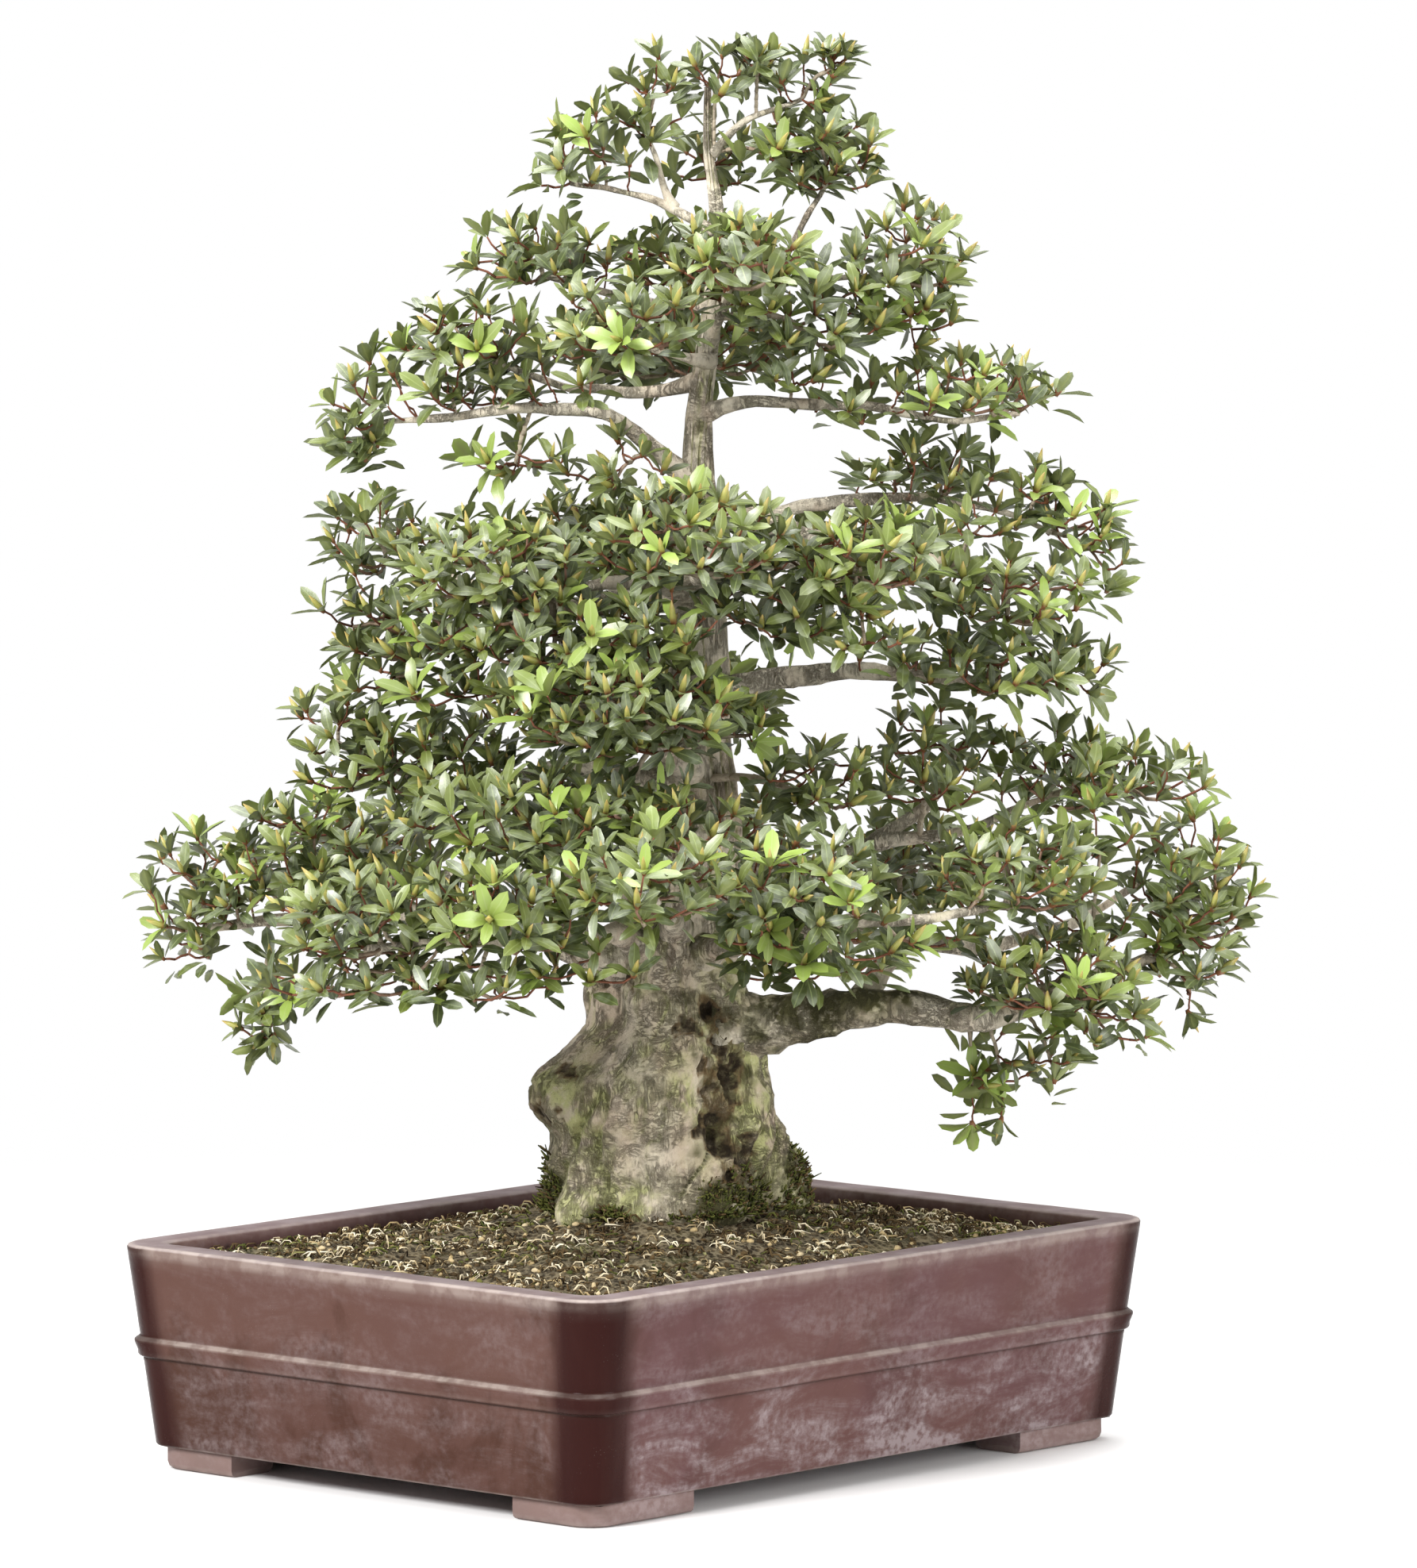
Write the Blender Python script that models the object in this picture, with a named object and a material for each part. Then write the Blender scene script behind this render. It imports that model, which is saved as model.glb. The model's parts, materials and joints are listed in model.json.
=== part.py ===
"""Satsuki azalea bonsai, an old tapering trunk in a rectangular unglazed clay pot.

The pot's long side lies along X and its underside rests on Z = 0. The tree is laid
out on its own axes: u runs to the right of the side it is shown from, w runs away
from that side and z is up. A turn about Z brings these onto the pot. All lengths
in the lists are millimetres, and MM turns them into metres.
"""

import math
import random
from dataclasses import dataclass

import bmesh
import bpy
from mathutils import Matrix, Vector

MM = 0.001
SEED = 417

# Pot
POT_LENGTH = 480 * MM
POT_WIDTH = 370 * MM
POT_HEIGHT = 128 * MM
POT_CORNER = 24 * MM
POT_CORNER_STEPS = 5
WALL_LEAN = 14 * MM
RIM_WIDTH = 21 * MM
RIM_EDGE = 3 * MM
FLOOR_THICKNESS = 12 * MM
BELT_LOW = 64 * MM
BELT_HIGH = 76 * MM
BELT_RELIEF = 3 * MM
FOOT_HEIGHT = 13 * MM
FOOT_INSET = 18 * MM
FOOT_BREADTH = 34 * MM
FOOT_SHARE = 0.21
FOOT_OUTER_CORNER = 17 * MM
FOOT_INNER_CORNER = 8 * MM
FOOT_CORNERS = {
    "foot_back_right": (1, 1),
    "foot_back_left": (-1, 1),
    "foot_front_left": (-1, -1),
    "foot_front_right": (1, -1),
}
NOTCH_WIDTH = 1.6 * MM
NOTCH_DEPTH = 1.4 * MM
NOTCHES_LONG_SIDE = (0.31, 0.825)
NOTCHES_SHORT_SIDE = (0.57,)
DRAIN_RADIUS = 14 * MM
DRAIN_SPACING = 240 * MM

# Screens over the drain holes
SCREEN_SIZE = 46 * MM
SCREEN_THICKNESS = 1.4 * MM
SCREEN_MESHES = 3
SCREEN_BAR = 3 * MM

# Soil
SOIL_EDGE = 118 * MM
SOIL_CREST = 26 * MM
SOIL_CREST_REACH = 95 * MM
SOIL_RINGS = 7
SOIL_ROUGHNESS = 1.6 * MM

GAP = 0.3 * MM
WELD = 0.001 * MM
WOOD_GAP = 0.45 * MM

# Place of the trunk's middle in u and w, and how far apart two sprays can still meet
TRUNK_MIDDLE = (35, 5)
NEIGHBOUR_REACH = 300 * MM

# Turn that brings the tree's u and w axes onto the pot
VIEW_TURN = math.radians(-47.87)

# Height, middle u, middle w and half-width of the trunk
TRUNK_RINGS = (
    (82, 18, 6, 60),
    (120, 18, 5, 76),
    (144, 17, 4, 79),
    (155, 19, 4, 72),
    (168, 18, 4, 69),
    (181, 15, 4, 67),
    (196, 9, 4, 69),
    (216, 8, 5, 67),
    (234, 16, 6, 57),
    (247, 18, 6, 49),
    (265, 14, 7, 45),
    (308, 21, 8, 34),
    (360, 33, 8, 25),
    (400, 33, 6, 20),
    (456, 35, 4, 17),
    (512, 34, 2, 12.5),
    (588, 34, 0, 8),
    (646, 41, 0, 6),
    (680, 44, 0, 4.8),
    (710, 44, 0, 4),
    (735, 40, 0, 3),
    (776, 39, 0, 1.8),
)
TRUNK_SIDES = 20
TRUNK_DEPTH_SHARE = 0.88
# Direction in degrees round the trunk from u towards the shown side, reach, width
ROOT_LOBES = ((-8, 22, 24), (52, 12, 20), (118, 20, 22), (172, 16, 20), (228, 18, 26), (300, 20, 26))
ROOT_TOP = 190
ROOT_LEVEL = 120
# Direction, depth, width in degrees, lowest and highest place of each hollow
HOLLOWS = (
    (55, 15, 15, 168, 262),
    (16, 8, 14, 205, 250),
    (150, 9, 18, 236, 300),
    (262, 12, 22, 175, 240),
)
# Direction, height above the wood, width in degrees, lowest and highest place
KNOBS = (
    (168, 9, 20, 182, 226),
    (96, 6, 26, 178, 330),
    (20, 9, 20, 190, 300),
    (250, 7, 24, 200, 300),
)


@dataclass(frozen=True)
class Limb:
    """A limb of the tree: its route in u, w and z, thick at the root, thin at the tip."""

    route: tuple
    root: float
    tip: float


@dataclass(frozen=True)
class Pad:
    """A spray of foliage: its middle in u, w and z, its half-width and half-height."""

    name: str
    middle: tuple
    reach: tuple


LIMBS = (
    Limb(((45, 0, 246), (92, -10, 249), (123, -20, 257), (154, -20, 259), (190, -30, 252),
          (225, -30, 262), (268, -20, 278), (308, 0, 290)), 18, 2.4),
    Limb(((38, 30, 297), (88, 40, 322), (134, 52, 344), (172, 55, 374), (181, 50, 398)), 11, 2.4),
    Limb(((123, -20, 258), (155, 30, 286), (201, 50, 283), (245, 50, 296), (285, 30, 322)), 7.5, 2.2),
    Limb(((134, 50, 344), (185, 35, 352), (232, 25, 372)), 5, 2),
    Limb(((33, -12, 287), (73, -90, 302), (112, -130, 315), (155, -125, 318), (205, -90, 322)), 9, 2.2),
    Limb(((2, 0, 280), (-38, -10, 292), (-91, -20, 304), (-145, -20, 311), (-199, -10, 306),
          (-244, 0, 300)), 14, 2.4),
    Limb(((5, -12, 291), (-24, -100, 306), (-63, -150, 308), (-106, -150, 306), (-150, -128, 302)), 9, 2.2),
    Limb(((7, 25, 300), (-29, 90, 314), (-85, 125, 318), (-155, 142, 316)), 9, 2.2),
    Limb(((22, -12, 300), (18, -110, 318), (8, -190, 336)), 9, 2.2),
    Limb(((27, 30, 304), (30, 115, 312), (22, 190, 318)), 9, 2.2),
    Limb(((34, 25, 312), (80, 90, 328), (118, 112, 320), (152, 118, 318)), 8, 2.2),
    Limb(((28, 0, 385), (-20, -10, 390), (-60, -20, 389), (-110, -18, 383), (-145, -8, 396),
          (-170, 0, 405)), 8, 2),
    Limb(((30, -12, 392), (10, -70, 406), (-12, -110, 422)), 7.5, 2),
    Limb(((32, 12, 398), (20, 80, 404), (2, 130, 408)), 7.5, 2),
    Limb(((44, 0, 430), (71, 0, 441), (106, -10, 446), (147, -20, 446), (183, -20, 442),
          (215, -15, 440)), 9, 2),
    Limb(((28, 0, 487), (-6, -20, 491), (-30, -40, 489), (-52, -50, 483), (-90, -40, 478),
          (-128, -22, 462)), 8, 2),
    Limb(((-52, -50, 483), (-100, -25, 500), (-142, -8, 508)), 4, 1.8),
    Limb(((28, -8, 494), (-5, -60, 500), (-45, -85, 497), (-75, -92, 496)), 7, 1.8),
    Limb(((36, -10, 500), (34, -65, 508), (28, -110, 515)), 7, 1.8),
    Limb(((32, 8, 502), (18, 70, 503), (-8, 122, 498)), 6.5, 1.8),
    Limb(((38, 5, 500), (90, 60, 505), (132, 102, 496)), 6, 1.8),
    Limb(((36, 0, 534), (87, -10, 526), (113, -20, 517), (154, -20, 514), (195, -20, 500),
          (212, -22, 492)), 8, 1.8),
    Limb(((38, 8, 531), (77, 25, 536), (116, 32, 541), (158, 26, 543), (205, 15, 536),
          (234, 10, 524)), 6, 1.8),
    Limb(((87, -10, 526), (105, -55, 518), (120, -82, 508)), 4.5, 1.8),
    Limb(((32, 0, 551), (2, -10, 578), (-15, -20, 591), (-52, -30, 597), (-102, -30, 592),
          (-145, -20, 588)), 6.5, 1.6),
    Limb(((38, 0, 612), (15, 8, 604), (-30, 10, 606), (-70, -5, 618), (-95, -12, 626)), 5, 1.6),
    Limb(((36, 6, 596), (28, 50, 610), (15, 88, 616)), 4.5, 1.6),
    Limb(((34, 0, 590), (56, -10, 597), (101, -18, 597), (140, -16, 594), (180, -4, 588),
          (215, 0, 592)), 5, 1.6),
    Limb(((40, -2, 622), (20, -35, 628), (-4, -64, 636)), 4.5, 1.6),
    Limb(((41, -2, 636), (48, -35, 655), (54, -60, 668)), 4, 1.6),
    Limb(((41, 3, 634), (38, 45, 648), (35, 80, 662)), 4, 1.6),
    Limb(((42, 0, 652), (-2, 5, 656), (-30, 2, 664), (-54, 0, 670)), 4, 1.6),
    Limb(((44, 0, 652), (75, -4, 664), (112, -5, 668), (146, -6, 670)), 4, 1.5),
    Limb(((75, -4, 664), (92, 0, 696), (106, 0, 722)), 3, 1.5),
    Limb(((43, 0, 694), (20, 0, 708), (-15, -6, 718), (-38, -10, 722)), 3.4, 1.5),
    Limb(((20, 0, 708), (10, 0, 732), (5, 0, 748)), 2.8, 1.5),
    Limb(((41, 0, 738), (60, 0, 756), (92, 0, 769)), 3, 1.5),
    Limb(((43, 2, 704), (43, 28, 716), (43, 50, 724)), 3, 1.5),
)

PADS = (
    Pad("apex", (43, 0, 782), (23, 22)),
    Pad("apex_right", (94, 0, 777), (26, 18)),
    Pad("crown_left", (5, 0, 757), (27, 20)),
    Pad("left_tip", (-41, -10, 728), (26, 17)),
    Pad("crown_right", (108, 0, 728), (34, 22)),
    Pad("crown_back", (43, 52, 732), (34, 22)),
    Pad("upper_right", (150, -6, 674), (40, 38)),
    Pad("upper_front", (56, -64, 680), (42, 24)),
    Pad("upper_left", (-56, 0, 679), (48, 22)),
    Pad("upper_left_front", (-6, -72, 646), (46, 25)),
    Pad("upper_back", (34, 84, 672), (54, 25)),
    Pad("shoulder_left", (-98, -15, 636), (45, 22)),
    Pad("shoulder_tip", (-152, -20, 597), (27, 29)),
    Pad("shoulder_back", (15, 92, 624), (78, 24)),
    Pad("shelf_right", (188, -4, 605), (56, 19)),
    Pad("mid_left_tip", (-146, -5, 520), (38, 27)),
    Pad("mid_left_front", (-80, -98, 512), (55, 30)),
    Pad("mid_front", (28, -115, 526), (58, 31)),
    Pad("mid_left_low", (-128, -25, 468), (46, 26)),
    Pad("mid_back", (-8, 128, 508), (82, 31)),
    Pad("mid_right_top", (162, 25, 556), (46, 21)),
    Pad("mid_right_tip", (238, 8, 528), (33, 23)),
    Pad("mid_right_front", (124, -86, 515), (46, 26)),
    Pad("mid_right_end", (208, -24, 491), (52, 24)),
    Pad("mid_right_back", (136, 106, 504), (56, 28)),
    Pad("mid_right_low", (205, -18, 448), (58, 20)),
    Pad("low_mid_left_tip", (-170, 0, 415), (35, 25)),
    Pad("low_mid_left_under", (-116, -22, 396), (52, 27)),
    Pad("low_mid_front", (-12, -114, 432), (72, 33)),
    Pad("low_mid_back", (2, 136, 418), (84, 31)),
    Pad("low_left_tip", (-250, 0, 320), (35, 36)),
    Pad("low_left", (-184, -25, 345), (48, 32)),
    Pad("low_left_front", (-150, -122, 316), (56, 31)),
    Pad("low_left_droop", (-209, -20, 262), (22, 27)),
    Pad("low_front_left", (-70, -165, 326), (54, 33)),
    Pad("low_front", (6, -203, 345), (46, 31)),
    Pad("low_front_right", (86, -158, 336), (52, 31)),
    Pad("low_back_left", (-166, 146, 322), (59, 31)),
    Pad("low_back", (22, 200, 325), (82, 32)),
    Pad("low_right_back", (158, 118, 324), (56, 31)),
    Pad("low_right_top", (172, 38, 400), (38, 25)),
    Pad("low_right_upper", (240, 22, 384), (45, 28)),
    Pad("low_right_front", (210, -78, 338), (54, 31)),
    Pad("low_right_tip", (312, -4, 316), (42, 52)),
    Pad("low_right_under", (228, -72, 279), (54, 26)),
    Pad("low_right_droop", (206, -20, 216), (24, 31)),
)

# Foliage
CORE_SHARE = 0.84
CORE_HEIGHT_SHARE = 0.84
CORE_SIDES = 6
CORE_RINGS = 4
CORE_ROUGHNESS = 0.28
HEIGHT_STRETCH = 1.6
CELL_GAP = 1.1 * MM
LEAF_LENGTH = 23 * MM
LEAF_WIDTH = 8.5 * MM
LEAF_THICKNESS = 1.1 * MM
LEAF_SIDES = 4
LEAF_SUNK = 3 * MM
BUD_LENGTH = 17 * MM
BUD_WIDTH = 3.6 * MM
BUD_SIDES = 4
LEAVES_IN_ROSETTE = 3
ROSETTE_SHARE = 620
ROSETTES_MOST = 3
TWIG_RADIUS = 2.2 * MM
TWIG_SPACING = 16 * MM


def clear_scene():
    """Remove every object that the file opens with."""
    for item in list(bpy.data.objects):
        bpy.data.objects.remove(item, do_unlink=True)


def new_collection(name, parent=None):
    """Make a collection and hang it in the scene."""
    collection = bpy.data.collections.new(name)
    (parent or bpy.context.scene.collection).children.link(collection)
    return collection


def material(name, colour, roughness, metallic=0.0):
    """A plain Principled material."""
    made = bpy.data.materials.new(name)
    made.use_nodes = True
    shader = made.node_tree.nodes["Principled BSDF"]
    shader.inputs["Base Color"].default_value = (*colour, 1.0)
    shader.inputs["Roughness"].default_value = roughness
    shader.inputs["Metallic"].default_value = metallic
    made.diffuse_color = (*colour, 1.0)
    return made


def object_from(bm, name, collection):
    """Turn a bmesh into a named object."""
    mesh = bpy.data.meshes.new(name)
    bm.to_mesh(mesh)
    bm.free()
    made = bpy.data.objects.new(name, mesh)
    collection.objects.link(made)
    return made


def add_boolean(target, operation, operand, solver="EXACT"):
    """Put a Boolean modifier on target; the operand is an object or a collection."""
    step = target.modifiers.new(operation.lower(), "BOOLEAN")
    step.operation = operation
    step.solver = solver
    if isinstance(operand, bpy.types.Collection):
        step.operand_type = "COLLECTION"
        step.collection = operand
    else:
        step.object = operand
    return step


def apply_modifiers(target):
    """Replace an object's mesh by its evaluated mesh."""
    depsgraph = bpy.context.evaluated_depsgraph_get()
    mesh = bpy.data.meshes.new_from_object(target.evaluated_get(depsgraph))
    target.modifiers.clear()
    target.data = mesh


def remove_objects(collection):
    """Remove a collection with everything in it."""
    for item in list(collection.objects):
        bpy.data.objects.remove(item, do_unlink=True)
    bpy.data.collections.remove(collection)


def keep_largest_body(target):
    """Weld hair-thin faces, then drop all but the largest body of a joined mesh."""
    bm = bmesh.new()
    bm.from_mesh(target.data)
    bmesh.ops.remove_doubles(bm, verts=bm.verts, dist=WELD)
    bmesh.ops.triangulate(bm, faces=bm.faces)
    waiting = set(bm.verts)
    bodies = []
    while waiting:
        front = [waiting.pop()]
        body = set(front)
        while front:
            point = front.pop()
            for edge in point.link_edges:
                other = edge.other_vert(point)
                if other not in body:
                    body.add(other)
                    front.append(other)
        waiting -= body
        bodies.append(body)
    largest = max(bodies, key=len)
    scraps = [point for point in bm.verts if point not in largest]
    bmesh.ops.delete(bm, geom=scraps, context="VERTS")
    bm.to_mesh(target.data)
    bm.free()


def finish(target, look):
    """Give a finished piece its material and flat facets."""
    target.data.materials.clear()
    target.data.materials.append(look)
    return target


def rounded_outline(length, width, corner, steps=POT_CORNER_STEPS):
    """Points of a rounded rectangle, corner by corner, anticlockwise."""
    points = []
    for index, (sx, sy) in enumerate(((1, 1), (-1, 1), (-1, -1), (1, -1))):
        for step in range(steps):
            angle = math.radians(90 * index + 90 * step / (steps - 1))
            x = sx * (length / 2 - corner) + corner * math.cos(angle)
            y = sy * (width / 2 - corner) + corner * math.sin(angle)
            points.append((x, y))
    return points


def loft(bm, rings, close=False):
    """Skin equal rings of points from first to last and cap both ends, or close the loop."""
    rows = [[bm.verts.new(point) for point in ring] for ring in rings]
    pairs = list(zip(rows, rows[1:]))
    if close:
        pairs.append((rows[-1], rows[0]))
    for low, high in pairs:
        for i in range(len(low)):
            j = (i + 1) % len(low)
            bm.faces.new((low[i], low[j], high[j], high[i]))
    if not close:
        bm.faces.new(list(reversed(rows[0])))
        bm.faces.new(rows[-1])
    return rows


def wall_inset(z):
    """How far the leaning wall stands in from the rim's outline at height z."""
    return WALL_LEAN * (POT_HEIGHT - z) / (POT_HEIGHT - FOOT_HEIGHT)


def pot_ring(z, inset):
    """Ring of the pot at height z, inset from the rim's outline."""
    corner = max(POT_CORNER - 0.6 * inset, 6 * MM)
    outline = rounded_outline(POT_LENGTH - 2 * inset, POT_WIDTH - 2 * inset, corner)
    return [(x, y, z) for x, y in outline]


def box(name, collection, size, middle, turn=0.0):
    """A box from a cube primitive."""
    bm = bmesh.new()
    bmesh.ops.create_cube(bm, size=1.0)
    bmesh.ops.scale(bm, vec=size, verts=bm.verts)
    bmesh.ops.rotate(bm, verts=bm.verts, matrix=Matrix.Rotation(turn, 3, "Z"))
    bmesh.ops.translate(bm, vec=middle, verts=bm.verts)
    return object_from(bm, name, collection)


def make_pot(parts, cutters, look):
    """The fired pot: leaning walls, rim, belt, floor and drain holes."""
    floor = FOOT_HEIGHT + FLOOR_THICKNESS
    belt_edge = 1.5 * MM
    rings = [
        pot_ring(FOOT_HEIGHT, WALL_LEAN + 1.5 * MM),
        pot_ring(FOOT_HEIGHT + 1.5 * MM, wall_inset(FOOT_HEIGHT + 1.5 * MM)),
        pot_ring(BELT_LOW, wall_inset(BELT_LOW)),
        pot_ring(BELT_LOW + belt_edge, wall_inset(BELT_LOW) - BELT_RELIEF),
        pot_ring(BELT_HIGH - belt_edge, wall_inset(BELT_HIGH) - BELT_RELIEF),
        pot_ring(BELT_HIGH, wall_inset(BELT_HIGH)),
        pot_ring(POT_HEIGHT - RIM_EDGE, 0),
        pot_ring(POT_HEIGHT, RIM_EDGE),
        pot_ring(POT_HEIGHT, RIM_WIDTH - RIM_EDGE),
        pot_ring(POT_HEIGHT - RIM_EDGE, RIM_WIDTH),
        pot_ring(floor, RIM_WIDTH + wall_inset(floor)),
    ]
    bm = bmesh.new()
    loft(bm, rings)
    pot = object_from(bm, "pot", parts)

    tools = new_collection("pot_tools", cutters)
    for side in (-1, 1):
        bm = bmesh.new()
        bmesh.ops.create_cone(
            bm,
            cap_ends=True,
            segments=16,
            radius1=DRAIN_RADIUS,
            radius2=DRAIN_RADIUS,
            depth=4 * FLOOR_THICKNESS,
            matrix=Matrix.Translation((side * DRAIN_SPACING / 2, 0, FOOT_HEIGHT)),
        )
        object_from(bm, "drain", tools)
    belt_middle = (BELT_LOW + BELT_HIGH) / 2
    reach = BELT_RELIEF - wall_inset(belt_middle)
    size = (NOTCH_WIDTH, 2 * NOTCH_DEPTH, 3 * (BELT_HIGH - BELT_LOW))
    for side in (-1, 1):
        for share in NOTCHES_LONG_SIDE:
            x = side * (0.5 - share) * -POT_LENGTH
            box("notch", tools, size, (x, side * (POT_WIDTH / 2 + reach), belt_middle))
        for share in NOTCHES_SHORT_SIDE:
            y = side * (share - 0.5) * POT_WIDTH
            box("notch", tools, size, (side * (POT_LENGTH / 2 + reach), y, belt_middle), math.pi / 2)
    add_boolean(pot, "DIFFERENCE", tools)
    apply_modifiers(pot)
    remove_objects(tools)
    keep_largest_body(pot)
    finish(pot, look)


def make_feet(parts, cutters, look):
    """Four angled feet, each the part of a ring under the pot that lies at one corner."""
    inset = FOOT_INSET
    outer = rounded_outline(POT_LENGTH - 2 * inset, POT_WIDTH - 2 * inset, FOOT_OUTER_CORNER)
    inset = FOOT_INSET + FOOT_BREADTH
    inner = rounded_outline(POT_LENGTH - 2 * inset, POT_WIDTH - 2 * inset, FOOT_INNER_CORNER)
    top = FOOT_HEIGHT - GAP
    size = (POT_LENGTH * FOOT_SHARE, POT_WIDTH * FOOT_SHARE, 4 * FOOT_HEIGHT)
    for name, (sx, sy) in FOOT_CORNERS.items():
        bm = bmesh.new()
        loft(
            bm,
            [
                [(x, y, 0.0) for x, y in outer],
                [(x, y, top) for x, y in outer],
                [(x, y, top) for x, y in inner],
                [(x, y, 0.0) for x, y in inner],
            ],
            close=True,
        )
        foot = object_from(bm, name, parts)
        middle = (sx * POT_LENGTH * (1 - FOOT_SHARE) / 2, sy * POT_WIDTH * (1 - FOOT_SHARE) / 2, 0)
        corner = box("corner", cutters, size, middle)
        add_boolean(foot, "INTERSECT", corner)
        apply_modifiers(foot)
        bpy.data.objects.remove(corner, do_unlink=True)
        keep_largest_body(foot)
        finish(foot, look)


def make_screens(parts, cutters):
    """Two mesh plates that lie on the pot's floor over the drain holes."""
    look = material("screen_mesh", (0.03, 0.03, 0.03), 0.6)
    low = FOOT_HEIGHT + FLOOR_THICKNESS + GAP
    pitch = (SCREEN_SIZE - SCREEN_BAR) / SCREEN_MESHES
    hole = pitch - SCREEN_BAR
    for name, side in (("screen_left", -1), ("screen_right", 1)):
        x = side * DRAIN_SPACING / 2
        middle_z = low + SCREEN_THICKNESS / 2
        plate = box(name, parts, (SCREEN_SIZE, SCREEN_SIZE, SCREEN_THICKNESS), (x, 0, middle_z))
        tools = new_collection("screen_tools", cutters)
        for column in range(SCREEN_MESHES):
            for row in range(SCREEN_MESHES):
                shift_x = (column - (SCREEN_MESHES - 1) / 2) * pitch
                shift_y = (row - (SCREEN_MESHES - 1) / 2) * pitch
                box("mesh_hole", tools, (hole, hole, 4 * SCREEN_THICKNESS), (x + shift_x, shift_y, middle_z))
        add_boolean(plate, "DIFFERENCE", tools)
        apply_modifiers(plate)
        remove_objects(tools)
        keep_largest_body(plate)
        finish(plate, look)


def make_soil(parts, cutters, wood_tool):
    """The mound of soil: crest round the trunk, hole for the trunk, seats over the screens."""
    draw = random.Random(SEED)
    floor = FOOT_HEIGHT + FLOOR_THICKNESS + GAP
    edge_inset = RIM_WIDTH + wall_inset(SOIL_EDGE) + GAP
    foot_inset = RIM_WIDTH + wall_inset(floor) + GAP
    crest = to_pot(TRUNK_RINGS[0][1] * MM, TRUNK_RINGS[0][2] * MM)
    rings = [pot_ring(floor, foot_inset), pot_ring(SOIL_EDGE, edge_inset)]
    border = pot_ring(SOIL_EDGE, edge_inset)
    for ring in range(1, SOIL_RINGS):
        share = ring / SOIL_RINGS
        row = []
        for x, y, z in border:
            px = x + (crest[0] - x) * share
            py = y + (crest[1] - y) * share
            off = math.hypot(px - crest[0], py - crest[1]) / SOIL_CREST_REACH
            edge = min(1.0, 3 * share)
            rise = SOIL_CREST * (0.72 * math.exp(-off * off) + 0.28 * math.exp(-off / 2)) * edge
            row.append((px, py, z + rise + draw.uniform(-1, 1) * SOIL_ROUGHNESS))
        rings.append(row)
    bm = bmesh.new()
    loft(bm, rings)
    soil = object_from(bm, "soil", parts)
    tools = new_collection("soil_tools", cutters)
    seat = SCREEN_SIZE + 2 * GAP
    for side in (-1, 1):
        middle = (side * DRAIN_SPACING / 2, 0, floor)
        box("seat", tools, (seat, seat, 2 * (SCREEN_THICKNESS + GAP)), middle)
    add_boolean(soil, "DIFFERENCE", tools)
    add_boolean(soil, "DIFFERENCE", wood_tool)
    apply_modifiers(soil)
    remove_objects(tools)
    keep_largest_body(soil)
    return finish(soil, material("soil", (0.09, 0.06, 0.035), 0.95))


def to_pot(u, w):
    """Turn a place on the tree's axes into X and Y of the pot."""
    cos, sin = math.cos(VIEW_TURN), math.sin(VIEW_TURN)
    return u * cos - w * sin, u * sin + w * cos


def place(point):
    """A tree point in millimetres as a vector in metres on the pot's axes."""
    x, y = to_pot(point[0] * MM, point[1] * MM)
    return Vector((x, y, point[2] * MM))


def bump(angle, middle, width):
    """A smooth hill of height 1 round an angle in degrees."""
    off = (angle - middle + 180) % 360 - 180
    return math.exp(-((off / width) ** 2))


def band(z, low, high):
    """A smooth hill of height 1 between two heights."""
    if z <= low or z >= high:
        return 0.0
    return math.sin(math.pi * (z - low) / (high - low))


def trunk_radius(angle, z, radius):
    """Distance from the trunk's middle to its bark, with roots, hollows and knobs."""
    depth = 1 - (1 - TRUNK_DEPTH_SHARE) * abs(math.sin(math.radians(angle)))
    reach = radius * depth
    if z < ROOT_TOP:
        near_ground = ((ROOT_TOP - z) / (ROOT_TOP - ROOT_LEVEL)) ** 2
        spread = min(near_ground, 1.0)
        if z < ROOT_LEVEL:
            spread *= max(0.0, 1 - (ROOT_LEVEL - z) / 40)
        for middle, lobe, width in ROOT_LOBES:
            reach += spread * lobe * (bump(angle, middle, width) - 0.35)
    for middle, sunk, width, low, high in HOLLOWS:
        reach -= sunk * bump(angle, middle, width) * band(z, low, high)
    for middle, raised, width, low, high in KNOBS:
        reach += raised * bump(angle, middle, width) * band(z, low, high)
    return reach


def trunk_loft(name, collection, extra):
    """The trunk from below the soil to the crown, each ring a lobed circle."""
    rings = []
    last = len(TRUNK_RINGS) - 1
    for index, (z, u, w, radius) in enumerate(TRUNK_RINGS):
        end_shift = -extra if index == 0 else extra if index == last else 0.0
        ring = []
        for side in range(TRUNK_SIDES):
            angle = 360 * side / TRUNK_SIDES
            reach = trunk_radius(angle, z, radius)
            outward = reach + extra / MM
            point_u = u + outward * math.cos(math.radians(angle))
            point_w = w - outward * math.sin(math.radians(angle))
            point = place((point_u, point_w, z))
            point.z += end_shift
            ring.append(point)
        rings.append(list(reversed(ring)))
    bm = bmesh.new()
    loft(bm, rings)
    return object_from(bm, name, collection)


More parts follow.
